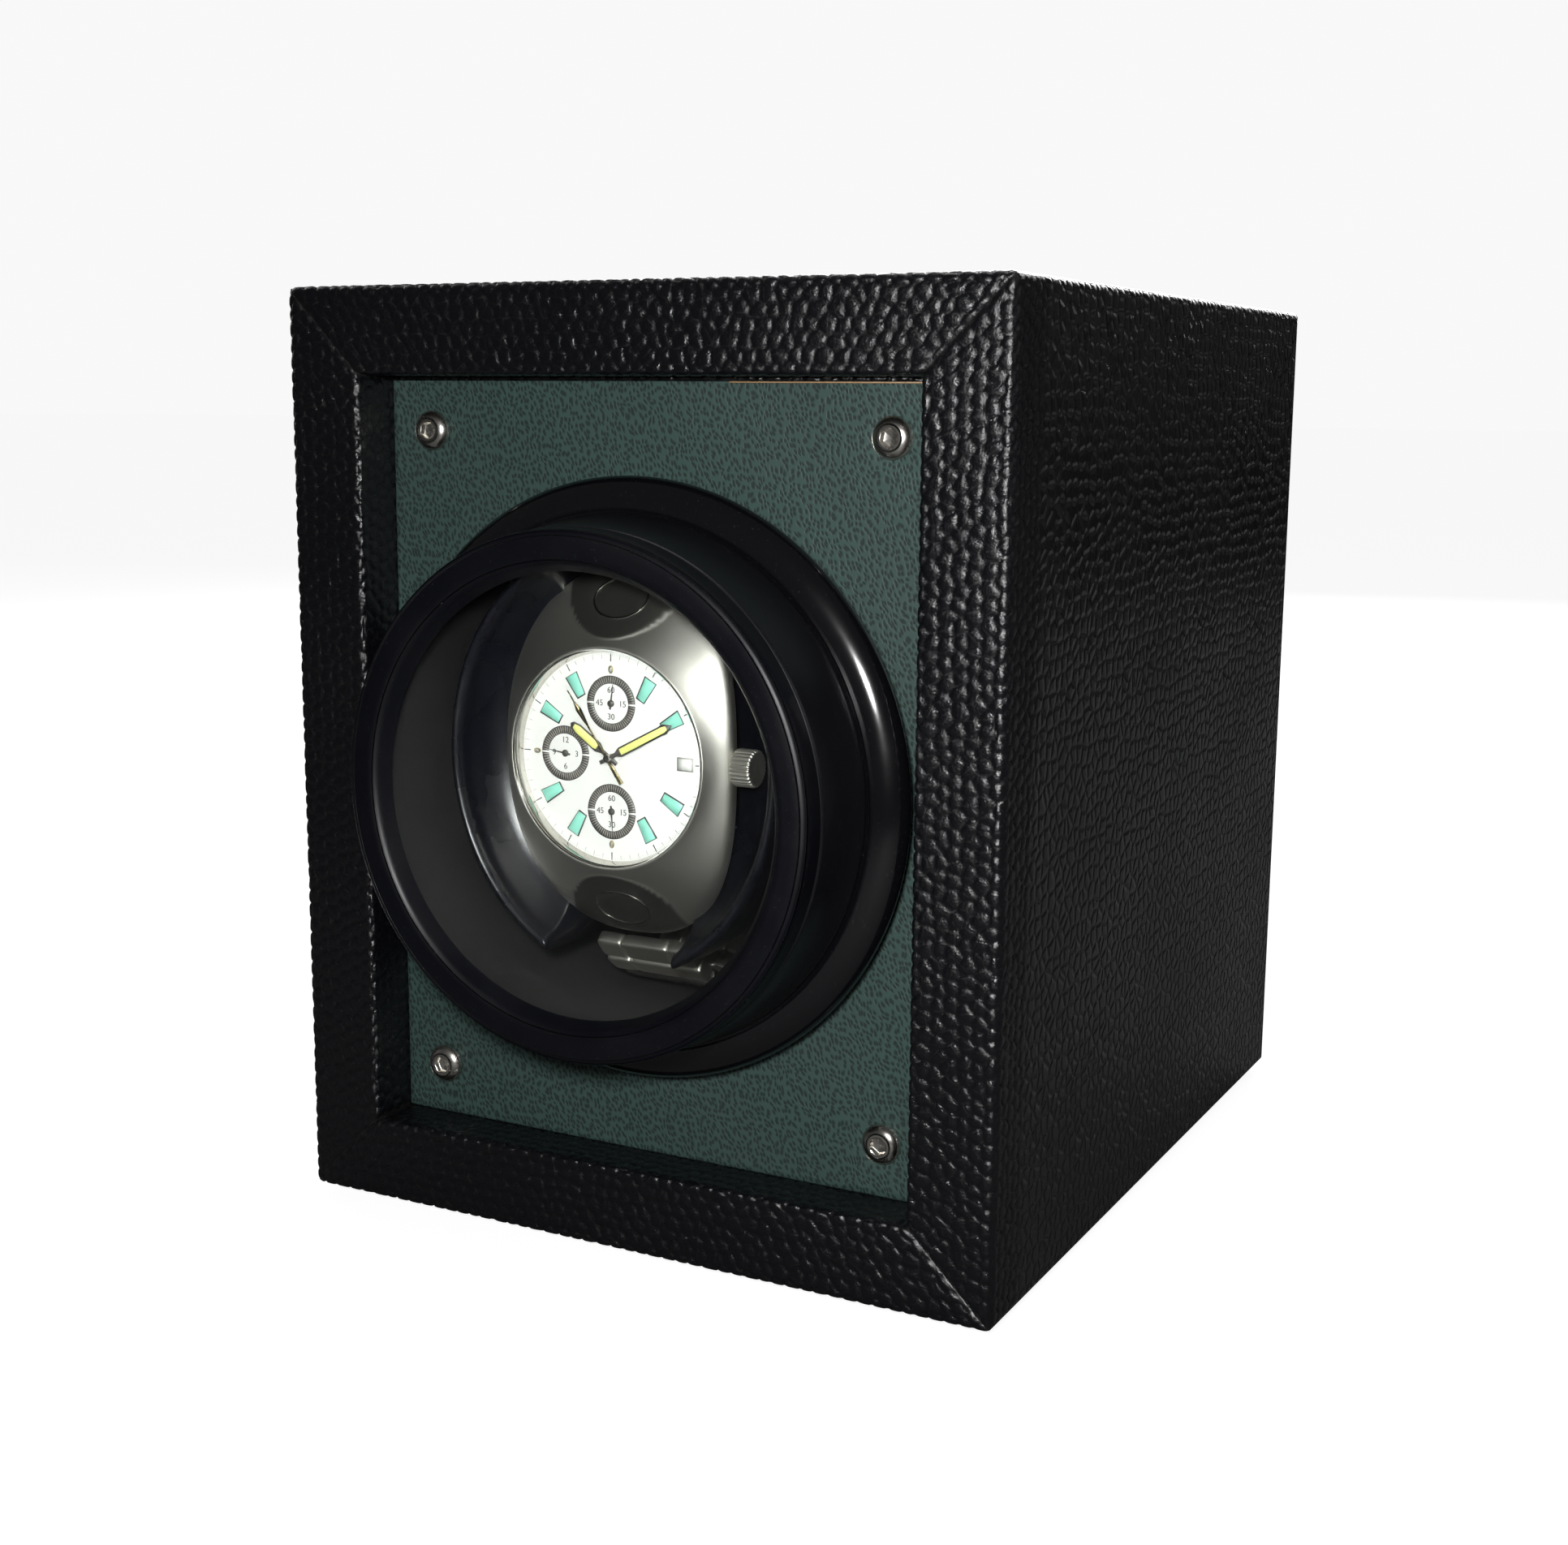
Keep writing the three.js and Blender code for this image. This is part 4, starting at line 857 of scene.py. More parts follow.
ALUMINIUM = BRUSHED_METAL(
    "milled aluminium", (0.60, 0.61, 0.62), (0.3, 0.3, 0.3), 0.36, 0.08, scale=1500.0, bump=0.12,
    bump_mm=0.03,
)
BRONZE = Finish(
    "oiled bronze", (0.48, 0.30, 0.14), (0.18, 0.10, 0.04), 0.34, 0.08, metallic=1.0, scale=200.0,
    crease_mix=0.3, bump=0.08,
)
WOOD = Finish(
    "sawn pine", (0.42, 0.28, 0.16), (0.25, 0.15, 0.07), 0.62, 0.08, pattern=Pattern.BRUSHED,
    scale=900.0, crease_mix=0.7, bump=0.4, bump_mm=0.2,
)
RAW_EDGE = Finish(
    "raw board edge", (0.30, 0.19, 0.10), (0.13, 0.08, 0.04), 0.55, 0.08, pattern=Pattern.BRUSHED,
    scale=1400.0, crease_mix=0.6, bump=0.3, bump_mm=0.1,
)
NYLON = Finish(
    "natural nylon", (0.74, 0.70, 0.60), (0.5, 0.46, 0.38), 0.42, 0.06, scale=90.0,
    crease_mix=0.1, bump=0.08,
)
# Its second colour, darker than the first, is painted shade in the pebble creases.
TEXTURED_BLACK = Finish(
    "textured black plastic", (0.014, 0.014, 0.016), (0.005, 0.005, 0.005), 0.45, 0.06,
    pattern=Pattern.PEBBLE, scale=2600.0, crease_mix=0.4, bump=0.25, bump_mm=0.04,
)
RUBBER = Finish(
    "foot rubber", (0.018, 0.018, 0.018), (0.07, 0.07, 0.07), 0.75, 0.08, scale=80.0,
    crease_mix=0.2, bump=0.1, dust=0.1,
)
CELL_SLEEVE = Finish(
    "cell sleeve", (0.10, 0.105, 0.115), (0.03, 0.03, 0.03), 0.3, 0.06, metallic=0.3, scale=50.0,
    crease_mix=0.2, bump=0.02,
)
CIRCUIT = Finish(
    "solder mask", (0.015, 0.11, 0.045), (0.4, 0.36, 0.2), 0.35, 0.06, pattern=Pattern.BRUSHED,
    scale=700.0, bump=0.05,
)
DIAL_WHITE = Finish(
    "dial white", (0.62, 0.61, 0.59), (0.7, 0.7, 0.66), 0.4, 0.05, scale=300.0,
    crease_mix=0.02, shade_mix=0.04, bump=0.02,
)
DIAL_INK = Finish(
    "dial ink", (0.045, 0.04, 0.036), (0.1, 0.1, 0.1), 0.45, 0.05, scale=600.0,
    crease_mix=0.05, bump=0.02,
)
DIAL_GREY = Finish(
    "dial grey", (0.36, 0.35, 0.32), (0.2, 0.2, 0.2), 0.45, 0.05, scale=600.0,
    crease_mix=0.05, bump=0.02,
)
MINT = Finish(
    "mint lacquer", (0.20, 0.50, 0.40), (0.1, 0.4, 0.3), 0.35, 0.05, scale=500.0,
    crease_mix=0.05, bump=0.03,
)
LUME = Finish(
    "luminous paint", (0.72, 0.74, 0.22), (0.45, 0.45, 0.1), 0.5, 0.05, scale=900.0,
    crease_mix=0.1, bump=0.1,
)
GOLD = Finish(
    "gold marker", (0.48, 0.40, 0.22), (0.2, 0.16, 0.08), 0.3, 0.05, metallic=1.0, scale=400.0,
    crease_mix=0.1, bump=0.03,
)
WINDOW_CLEAR = Clear("clear acrylic", ior=1.3)
CRYSTAL_CLEAR = Clear("watch crystal", tint=(0.985, 0.99, 0.985), ior=1.3)


def dress(obj: Piece, body: str, finish: Finish | Clear,
          stands_for: Sequence[str] = ()) -> Piece:
    """Gives a piece its finish, body, material slot and the nodes it stands for.

    Args:
        obj: The piece.
        body: Body that it rides on.
        finish: Its finish.
        stands_for: CAD nodes that it replaces.

    Returns:
        The piece.
    """
    obj.data.materials.append(finish.material())
    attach(obj, body)
    if stands_for:
        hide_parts(*stands_for)
    LOG.info("%s on %s, %d faces", obj.name, body, len(obj.data.polygons))
    return obj


def dress_faces(obj: Piece, chosen: Callable[[Array], Array], finish: Finish) -> None:
    """Gives some faces of a dressed piece a second finish.

    Args:
        obj: The piece.
        chosen: From (n, 3) face middles in metres, whether each face takes the second finish.
        finish: The second finish.
    """
    obj.data.materials.append(finish.material())
    second = chosen(vectors_of(obj.data.polygons, "center"))
    obj.data.polygons.foreach_set("material_index", second.astype(np.int32))


def prism(name: str, outline: Array, datum: Datum, front: float, back: float,
          bevel: float = 0.0) -> Piece:
    """A flat piece of an (x, z) outline about the watch's centre, from one depth to another.

    The outline is carried along y. With a bevel, its front edge is drawn in towards its middle.

    Args:
        name: Name of the piece.
        outline: (n, 2) points in millimetres, seen from the front.
        datum: The frame's datums.
        front: Front depth in millimetres.
        back: Back depth in millimetres.
        bevel: Width of the front bevel in millimetres.

    Returns:
        The object.
    """
    middle = outline.mean(0)
    reach = np.linalg.norm(outline - middle, axis=1, keepdims=True)
    inner = middle + (outline - middle) * (1 - bevel / np.maximum(reach, 1e-6))
    rows = [(inner, front), (outline, front + bevel), (outline, back)]
    kept = rows if bevel > 0 else rows[1:]
    return loft(name, np.stack([datum.points(o[:, 0], y, o[:, 1], datum.watch_z) for o, y in kept]))


def smooth_curve(points: Sequence[tuple[float, float]], steps: int = 6) -> Array:
    """A curve through the points: between two of them it is the cubic whose slope at each is half
    the step from the point before it to the point after it.

    Args:
        points: The points to pass through.
        steps: Points made for each gap.

    Returns:
        (n, 2) or (n, 3) points.
    """
    p = np.asarray(points, float)
    ext = np.vstack([2 * p[0] - p[1], p, 2 * p[-1] - p[-2]])
    t = np.linspace(0, 1, steps, endpoint=False)[None, :, None]
    a, b, c, d = (ext[i:len(ext) - 3 + i, None, :] for i in range(4))
    square, cube = 2 * a - 5 * b + 4 * c - d, 3 * b - a - 3 * c + d
    body = 0.5 * (2 * b + (c - a) * t + square * t ** 2 + cube * t ** 3)
    return np.vstack([body.reshape(-1, p.shape[1]), p[-1:]])


def joined(name: str, parts: Sequence[Piece]) -> Piece:
    """Several closed shells made one piece.

    Args:
        name: Name of the piece.
        parts: The shells; the first one keeps its place in the scene.

    Returns:
        The piece.
    """
    with bpy.context.temp_override(active_object=parts[0], selected_editable_objects=list(parts)):
        bpy.ops.object.join()
    parts[0].name = name
    return parts[0]


# ---- case


class Side(Enum):
    """The four boards of the case, as the direction that each faces, across and up."""

    TOP = (0, 1)
    BOTTOM = (0, -1)
    LEFT = (-1, 0)
    RIGHT = (1, 0)


@dataclass
class CaseShell:
    """Four boards wrapped in pebbled leatherette, mitred at the corners."""

    datum: Datum
    rebate: float = 6.0
    rebate_depth: float = 16.0
    outer_lip: float = 1.5
    inner_lip: float = 1.0
    corner: float = 1.2
    grain: float = 2.5
    relief: float = 0.42
    step: float = 0.37
    fine_depth: float = 13.0
    seam_width: float = 0.42
    seam_depth: float = 0.26

    def section(self) -> Array:
        """Cross-section of a board as (inward, depth), starting at its outer back edge.

        Returns:
            (n, 2) points in millimetres.
        """
        board = self.datum.board / MM
        depth = (self.datum.back - self.datum.front) / MM
        corners = [
            (0, depth), (0, self.fine_depth), (0, 0), (board, 0), (board, self.fine_depth),
            (board, depth - self.rebate_depth), (board - self.rebate, depth - self.rebate_depth),
            (board - self.rebate, depth),
        ]
        radii = [1.2, 0, self.outer_lip, self.inner_lip, 0, 0, 0, 1.0]
        outline = rounded(corners, radii, 8, closed=True)
        near = np.maximum(outline[:, 1], np.roll(outline[:, 1], -1)) <= self.fine_depth + 0.01
        gaps = np.where(near, self.step, 3.0)
        return resample(outline, gaps, closed=True)

    def board(self, side: Side, name: str) -> Piece:
        """One board: the section carried along its length between 45 degree mitres.

        A point stands at (t (half - inward), inward, depth) for t from -1 to 1. Near the front it
        is moved along the section's normal by the pebble grain, and down into the mitre's seam.

        Args:
            side: Which board.
            name: Name of the piece.

        Returns:
            The object.
        """
        section = self.section()
        across, up = side.value
        width = self.datum.half_width / MM
        height = (self.datum.high - self.datum.low) / MM / 2
        half = width if up else height
        ahead = np.roll(section, -1, 0) - np.roll(section, 1, 0)
        normal = np.stack([-ahead[:, 1], ahead[:, 0]], -1)
        normal /= np.linalg.norm(normal, axis=1, keepdims=True)
        middle = np.array([self.datum.board / MM / 2, 6.0])
        if np.einsum("ij,ij->i", normal, section - middle)[:40].sum() < 0:
            normal = -normal
        girth = np.concatenate([[0], np.cumsum(np.linalg.norm(np.diff(section, axis=0), axis=1))])
        count = int(2 * half / self.step)
        t = np.linspace(-1, 1, count)[:, None]
        inward = np.broadcast_to(section[:, 0], (count, len(section)))
        depth = np.broadcast_to(section[:, 1], inward.shape)
        along = t * (half - inward)
        salt = 37.0 * (across + 2 * up)
        swell = 0.25 * np.sin(along / 19 + salt) * np.sin(girth / 7 + salt)
        height_map = pebbles(along + salt + swell, girth[None, :] + salt + 0 * along, self.grain)
        carved = 1 - smoothstep(self.fine_depth - 4, self.fine_depth - 0.5, depth)
        mitre = np.abs(half - np.abs(along) - inward) / math.sqrt(2)
        groove = np.exp(-(mitre / self.seam_width) ** 2)
        move = carved * (self.relief * (height_map - 0.75) * (1 - 0.6 * groove) - self.seam_depth * groove)
        inward = inward + normal[:, 0] * move
        depth = depth + normal[:, 1] * move
        inward, along = self.round_corner(inward, along, half)
        level = self.datum.low / MM + height
        out = width if across else height
        position = out - inward
        if up:
            x, z = along, level + up * position
        else:
            x, z = across * position, level + along
        obj = loft(name, self.datum.points(x, depth, z, 0.0))
        give_attribute(obj, "carved", carved)
        give_sheet(obj, along + 0 * girth, girth[None, :] + salt + 0 * along)
        ragged = np.exp(-(mitre / (0.20 + 0.09 * np.sin(girth * 3.1)[None, :])) ** 2)
        give_attribute(obj, "seam", ragged * (depth < self.fine_depth))
        return obj

    def round_corner(self, inward: Array, along: Array, half: float) -> tuple[Array, Array]:
        """Rounds the case's long corners: a point nearer to both outer faces than the radius is
        drawn onto the arc that touches both.

        Args:
            inward: Distance from the board's own outer face.
            along: Place along the board.
            half: Half the board's length.

        Returns:
            The two coordinates after the move.
        """
        other = half - np.abs(along)
        a, b = self.corner - inward, self.corner - other
        reach = np.hypot(a, b)
        inside = (a > 0) & (b > 0) & (reach > self.corner)
        scale = np.where(inside, self.corner / np.maximum(reach, 1e-9), 1.0)
        inward = np.where(inside, self.corner - a * scale, inward)
        other = np.where(inside, self.corner - b * scale, other)
        return inward, np.sign(along) * (half - other)

    def build(self) -> None:
        """Makes and dresses the four boards."""
        for side in Side:
            name = side.name.lower()
            dress(self.board(side, f"{name}_wrap"), "case", LEATHER_BLACK, [f"{name}_board"])


@dataclass
class Feet:
    """Four low rubber feet with a chamfered edge and a dished sole."""

    datum: Datum
    radius: float = 7.0
    height: float = 1.5

    def build(self) -> None:
        """Makes each foot as a profile turned about the upright through its own middle."""
        profile = rounded(
            [(0.05, 0.0), (self.radius, 0.0), (self.radius, self.height), (4.6, self.height),
             (4.2, self.height - 0.25), (0.05, self.height - 0.25)],
            [0, 0.3, 0.5, 0.15, 0.15, 0],
        )
        angle = full_turn(64)
        for end in ("front", "back"):
            for side in SIDES:
                node = f"foot_{end}_{side}"
                low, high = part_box(node)
                middle = (low + high) / 2
                r, drop = profile[:, 0:1], profile[:, 1:2]
                scale = (high.z - low.z) / (self.height * MM)
                grid = np.stack([
                    middle.x + r * np.cos(angle) * MM,
                    middle.y + r * np.sin(angle) * MM,
                    np.broadcast_to(high.z - drop * scale * MM, (len(profile), len(angle))),
                ], -1)
                dress(loft(f"foot_pad_{end}_{side}", grid), "case", RUBBER, [node])


@dataclass
class ButtonScrew:
    """Button head screw with a hexagon socket."""

    head_radius: float
    head_height: float
    shank_radius: float
    socket_radius: float = 1.25

    def build(self, node: str, forward: int) -> Piece:
        """Carries a profile round the screw's axis; from the socket's rim inwards the round
        section becomes a hexagon, whose radius at angle a is r / cos(a mod 60 - 30).

        Args:
            node: The CAD screw that it stands for.
            forward: -1 if the head looks to the front, 1 to the back.

        Returns:
            The object.
        """
        low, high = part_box(node)
        x, z = (low.x + high.x) / 2, (low.z + high.z) / 2
        tip = low.y if forward < 0 else high.y
        length = (high.y - low.y) / MM
        head, shank, socket = self.head_radius, self.shank_radius, self.socket_radius
        round_part = rounded(
            [(0.05, length), (shank, length), (shank, self.head_height), (head, self.head_height),
             (head, self.head_height * 0.62), (head * 0.84, 0.18), (socket + 0.55, 0.0), (socket + 0.22, 0.0)],
            [0, 0.4, 0, 0.1, 0.35, 0.9, 0.3, 0], 7,
        )
        rows_round = resample(round_part, 0.35)
        angle = full_turn(72)
        hexed = 1 / np.cos(np.mod(angle, np.pi / 3) - np.pi / 6)
        inner = np.array([(socket + 0.1, 0.04), (socket, 0.16), (socket, 0.95), (socket * 0.92, 1.0),
                          (0.05, 1.12)])
        radius = np.vstack([np.repeat(rows_round[:, 0:1], 72, 1), inner[:, 0:1] * hexed])
        depth = np.concatenate([rows_round[:, 1], inner[:, 1]])[:, None]
        spin = 0.35 + 2.1 * math.sin(x * 910 + z * 370)
        grid = np.stack([
            x + radius * np.cos(angle + spin) * MM,
            np.broadcast_to(tip - forward * depth * MM, radius.shape),
            z + radius * np.sin(angle + spin) * MM,
        ], -1)
        return dress(loft(f"{node}_fine", grid), "case", STAINLESS, [node])


FASCIA_SCREW = ButtonScrew(head_radius=3.2, head_height=1.65, shank_radius=1.5)
PANEL_SCREW = ButtonScrew(head_radius=2.5, head_height=1.5, shank_radius=1.5, socket_radius=1.1)


@dataclass
class Fascia:
    """Green leather panel with a round opening, its edges turned in, pressed down by its screws."""

    datum: Datum
    hole: float = 43.0
    lip: float = 1.3
    front: float = 9.0
    back: float = 15.0
    edge: float = 0.3
    tuck: float = 0.35
    screw_press: float = 0.3
    fold_low: float = -0.5
    fold_high: float = 0.35
    fold_half: float = 50.4
    raw_width: float = 0.24
    raw_overlap: float = 0.05
    raw_span: tuple = (14.0, 49.4)
    strip_depths: tuple = (-0.22, 0.6)
    strip_bevel: float = 0.06
    sides: int = 400

    def build(self) -> None:
        """Carries a section round the opening: the wall of the hole, its rolled lip, the face out
        to the rectangle, the outer edge and the back.

        A point at angle a stands at (hole + o) in that direction, and then t of the way from there
        to the rectangle.
        """
        low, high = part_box("fascia_panel")
        half_x, half_z = (high.x - low.x) / 2 / MM + self.tuck, (high.z - low.z) / 2 / MM + self.tuck
        corner = math.atan2(half_z, half_x)
        quarter = [np.linspace(a, b, self.sides // 8, endpoint=False) for a, b in (
            (-corner, 0), (0, corner), (corner, np.pi / 2), (np.pi / 2, np.pi - corner),
            (np.pi - corner, np.pi), (np.pi, np.pi + corner), (np.pi + corner, 1.5 * np.pi),
            (1.5 * np.pi, 2 * np.pi - corner))]
        angle = np.concatenate(quarter)
        way = np.stack([np.cos(angle), np.sin(angle)], -1)
        to_edge = np.minimum(half_x / np.maximum(np.abs(way[:, 0]), 1e-9),
                             half_z / np.maximum(np.abs(way[:, 1]), 1e-9))
        turn = np.linspace(0, np.pi / 2, 9)
        rows = [(0.0, 0.0, self.back), (0.0, 0.0, self.front + 3)]
        rows += [(self.lip * (1 - math.cos(a)), 0.0, self.front + self.lip * (1 - math.sin(a))) for a in turn]
        rows += [(self.lip, t, self.front) for t in np.linspace(0, 0.985, 26)[1:]]
        rows += [(self.lip, 1.0, self.front + self.edge), (self.lip, 1.0, self.back)]
        offset, share, depth = (np.array(column)[:, None] for column in zip(*rows))
        reach = (self.hole + offset) * (1 - share) + to_edge * share
        x, z = reach * way[:, 0], reach * way[:, 1]
        flat = (depth <= self.front + 0.01) * smoothstep(0, 0.1, share + 0 * x)
        wave = 0.10 * np.sin(x / 11 + 1.3) * np.sin(z / 14 + 0.4) + 0.05 * np.sin(x / 4.7 + z / 6.1)
        press = np.zeros_like(x)
        for s_low, s_high in (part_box(f"fascia_screw_{corner_name}") for corner_name in CORNERS):
            middle = (s_low + s_high) / 2
            gap = np.hypot(x - middle.x / MM, z - (middle.z - self.datum.axis_z) / MM)
            press = press + self.screw_press * np.exp(-(gap / 3.4) ** 4)
        y = depth + flat * (wave + 0.12 + press)
        grid = self.datum.points(x, y, z, self.datum.axis_z)
        dress(loft("fascia_leather", grid, ring=True), "case", LEATHER_GREEN, ["fascia_panel"])
        for corner_name in CORNERS:
            FASCIA_SCREW.build(f"fascia_screw_{corner_name}", -1)
        self.top_edge(high.z)

    def top_edge(self, top: float) -> None:
        """The folded black edge along the fascia's top, and the raw board that shows under its
        right half.

        Args:
            top: Height of the fascia's top edge, in metres.
        """
        level = (top - self.datum.watch_z) / MM
        fold = (-self.fold_half, self.fold_half, self.fold_low, self.fold_high)
        raw = (*self.raw_span, self.fold_low - self.raw_width, self.fold_low + self.raw_overlap)
        front, back = (self.front + depth for depth in self.strip_depths)
        for name, slot, finish, (left, right, low, high) in (
            ("folded_edge", "leatherette", LEATHER_BACK, fold), ("raw_board_edge", "wood", RAW_EDGE, raw),
        ):
            outline = np.array([(left, low), (right, low), (right, high), (left, high)]) + (0, level)
            dress(prism(name, outline, self.datum, front, back, self.strip_bevel), "case", finish)


# ---- rotor


@dataclass
class Rotor:
    """The turning cup with its flange, and the pull-off cap with its ring and window."""

    datum: Datum
    cup_inner: float = 38.4
    neck: float = 39.7
    cup: float = 40.5
    flange: float = 47.5
    mouth: float = -9.5
    flange_back: float = 5.2
    floor: float = 48.0
    floor_back: float = 51.0
    hub: float = 9.0
    hub_back: float = 53.0
    bore: float = 3.06

    def cup_profile(self) -> Array:
        """Section of the cup: its inner wall, neck, rolled flange, outer wall, floor and hub.

        Returns:
            (n, 2) radii and depths in millimetres.
        """
        inner, neck, rim, mouth = self.cup_inner, self.neck, self.flange, self.mouth
        flange = smooth_curve([
            (neck + 2.5, 0.62), (rim - 4.6, 0.52), (rim - 2.7, 0.95), (rim - 1.2, 1.75), (rim - 0.3, 2.75),
            (rim, 3.75), (rim - 0.35, 4.75), (rim - 1.0, self.flange_back),
        ], 6)
        bits = [
            np.array([(inner + 0.15, -9.65), (neck - 0.15, -9.65), (neck, mouth), (neck, 0.6)]),
            flange,
            rounded([(rim - 1.0, self.flange_back), (self.cup, self.flange_back), (self.cup, self.floor_back),
                     (self.hub, self.floor_back), (self.hub, self.hub_back), (self.bore, self.hub_back),
                     (self.bore, self.floor), (inner, self.floor), (inner, mouth)],
                    [0, 0.8, 3.5, 0.5, 0.3, 0, 0, 5, 0], 8)[1:],
        ]
        return resample(np.vstack(bits), 2.5, closed=True)

    def build(self) -> None:
        """Makes and dresses the cup, the cap's barrel, its ring and its window."""
        cup = revolve("cup_body", self.cup_profile(), self.datum, 200)
        dress(cup, "rotor", BLACK_GLOSS, ["rotor_cup"])

        def painted_sheen_faces(middle: Array) -> Array:
            """Whether faces belong to the inside of the cup, which takes the painted sheen.

            Args:
                middle: (n, 3) face middles in metres.

            Returns:
                (n,) truth values.
            """
            reach = np.hypot(middle[:, 0], middle[:, 2] - self.datum.axis_z) / MM
            deep = (middle[:, 1] - self.datum.front) / MM
            return (reach < self.cup_inner + 0.1) & (deep < self.floor + 0.5) & (deep > self.mouth - 0.1)

        # The inner wall takes the lighter grey finish: painted sheen on the cup's black plastic.
        dress_faces(cup, painted_sheen_faces, CUP_INSIDE_PAINTED_SHEEN)

        barrel = np.vstack([
            [(37.0, -11.3), (39.9, -11.35), (40.3, -11.28), (40.58, -10.95)],
            smooth_curve([(40.62, -10.6), (40.9, -8.0), (41.35, -3.6), (41.9, 0.05)], 6),
            [(41.8, 0.28), (39.9, 0.3), (39.85, -9.9), (37.05, -9.95)],
        ])
        dress(revolve("cap_side", barrel, self.datum, 200), "cap", BLACK_SATIN, ["cap_barrel"])

        ring = rounded([
            (34.0, -12.98), (34.6, -14.2), (35.3, -15.55), (36.3, -16.0), (38.7, -16.0),
            (40.05, -15.75), (40.42, -14.9), (40.5, -11.42), (39.1, -11.42), (39.1, -12.98),
        ], [0.1, 0.4, 0.7, 0.6, 0.8, 0.7, 0.8, 0.25, 0, 0], 7, closed=True)
        dress(revolve("cap_front_ring", ring, self.datum, 200), "cap", RING_RUBBER, ["cap_ring"])

        pane = rounded([(0.05, -12.9), (39, -12.9), (39, -11.4), (0.05, -11.4)], [0, 0.2, 0.2, 0], 4)
        window = revolve("cap_pane", resample(pane, 6.0), self.datum, 160, ring=False)
        dress(window, "cap", WINDOW_CLEAR, ["cap_window"])


@dataclass
class Cuff:
    """The soft oval bowl that the watch sits in, open down the middle for its strap."""

    datum: Datum
    half_width: float = 29.4
    half_height: float = 33.7
    lift: float = 4.0
    slot: float = 11.5
    columns: int = 90

    def half_bowl(self, side: int) -> Piece:
        """One side of the bowl: an oval profile cut flat where the strap's slot begins.

        A row of oval radius R runs from -a to a, where cos a = slot / (R k) and k is the bowl's
        width over its height. Rows run out over the bowl's inside, over its rim and down its
        outside; the flat cut joins each row to its partner on the other face.

        Args:
            side: -1 for the left half, 1 for the right.

        Returns:
            The object.
        """
        h, k = self.half_height, self.half_width / self.half_height
        start = self.slot / k
        inside = resample(smooth_curve([
            (start, 5.6), (h - 14, 5.55), (h - 8.6, 4.6), (h - 4.8, 2.4), (h - 2.7, -0.7),
            (h - 2.0, -3.0), (h - 1.35, -3.85), (h - 0.7, -3.95), (h - 0.15, -3.4), (h, -2.5),
        ], 6), 0.8)
        outside = resample(smooth_curve([
            (h, -2.5), (h, 8), (h - 1.6, 28), (h - 4.2, 45), (h - 5.4, 47.6), (h - 6.6, 47.95), (start, 47.95),
        ], 5), 3.0)[1:]
        if (len(inside) + len(outside)) % 2:
            outside = np.vstack([outside[:1], (outside[0] + outside[1]) / 2, outside[1:]])
        profile = np.vstack([inside, outside])
        radius, depth = profile[:, 0:1], profile[:, 1:2]
        widest = np.arccos(np.clip(self.slot / (radius * k), -1, 1))
        angle = widest * np.linspace(-1, 1, self.columns)
        x = side * radius * k * np.cos(angle)
        grid = self.datum.points(x, depth, self.lift + radius * np.sin(angle), self.datum.axis_z)
        rows, cols, _ = grid.shape
        r, c = np.meshgrid(np.arange(rows - 1), np.arange(cols - 1), indexing="ij")
        here, below = r * cols + c, (r + 1) * cols + c
        quads = np.stack([here, here + 1, below + 1, below], -1).reshape(-1, 4)
        i = np.arange(rows // 2 - 1)
        j = rows - 1 - i
        first = np.stack([i * cols, (i + 1) * cols, (j - 1) * cols, j * cols], -1)
        last = first[:, ::-1] + cols - 1
        faces = np.vstack([quads, first, last])
        return welded(mesh_from(f"cuff_half_{'left' if side < 0 else 'right'}", grid.reshape(-1, 3), faces))

    def build(self) -> None:
        """Makes both halves and the bridge between them behind the watch."""
        parts = [self.half_bowl(side) for side in (-1, 1)]
        x = np.linspace(-1, 1, 13)[:, None] * (self.slot + 0.6)
        a = full_turn(80)[None, :]
        y, z = 17 + 12 * np.cos(a), self.lift - 1.5 + 24 * np.sin(a)
        parts.append(loft("cuff_bridge", self.datum.points(x, y, z, self.datum.axis_z)))
        dress(joined("cuff_bowl", parts), "rotor", CUFF_SOFT, ["watch_cuff"])


def welded(obj: Piece) -> Piece:
    """Merges coincident points, such as a row that shrinks to one, and drops empty faces.

    Args:
        obj: The piece.

    Returns:
        The same piece.
    """
    shell = bmesh.new()
    shell.from_mesh(obj.data)
    bmesh.ops.remove_doubles(shell, verts=shell.verts, dist=1e-7)
    bmesh.ops.dissolve_degenerate(shell, edges=shell.edges, dist=1e-8)
    shell.to_mesh(obj.data)
    shell.free()
    return obj


# ---- watch


def bearing_outline(outline: Array, bearing: float, centre: tuple[float, float] = (0.0, 0.0)) -> Array:
    """Turns an outline drawn pointing up to a clock bearing, and moves it.

    Args:
        outline: (n, 2) points.
        bearing: Degrees clockwise from the top.
        centre: Where its origin is moved to.

    Returns:
        (n, 2) points.
    """
    a = math.radians(bearing)
    turn = np.array([[math.cos(a), -math.sin(a)], [math.sin(a), math.cos(a)]])
    return outline @ turn + np.asarray(centre)


def circle_outline(radius: float, count: int = 72) -> Array:
    """Points of a circle about the origin."""
    a = full_turn(count)
    return np.stack([radius * np.cos(a), radius * np.sin(a)], -1)


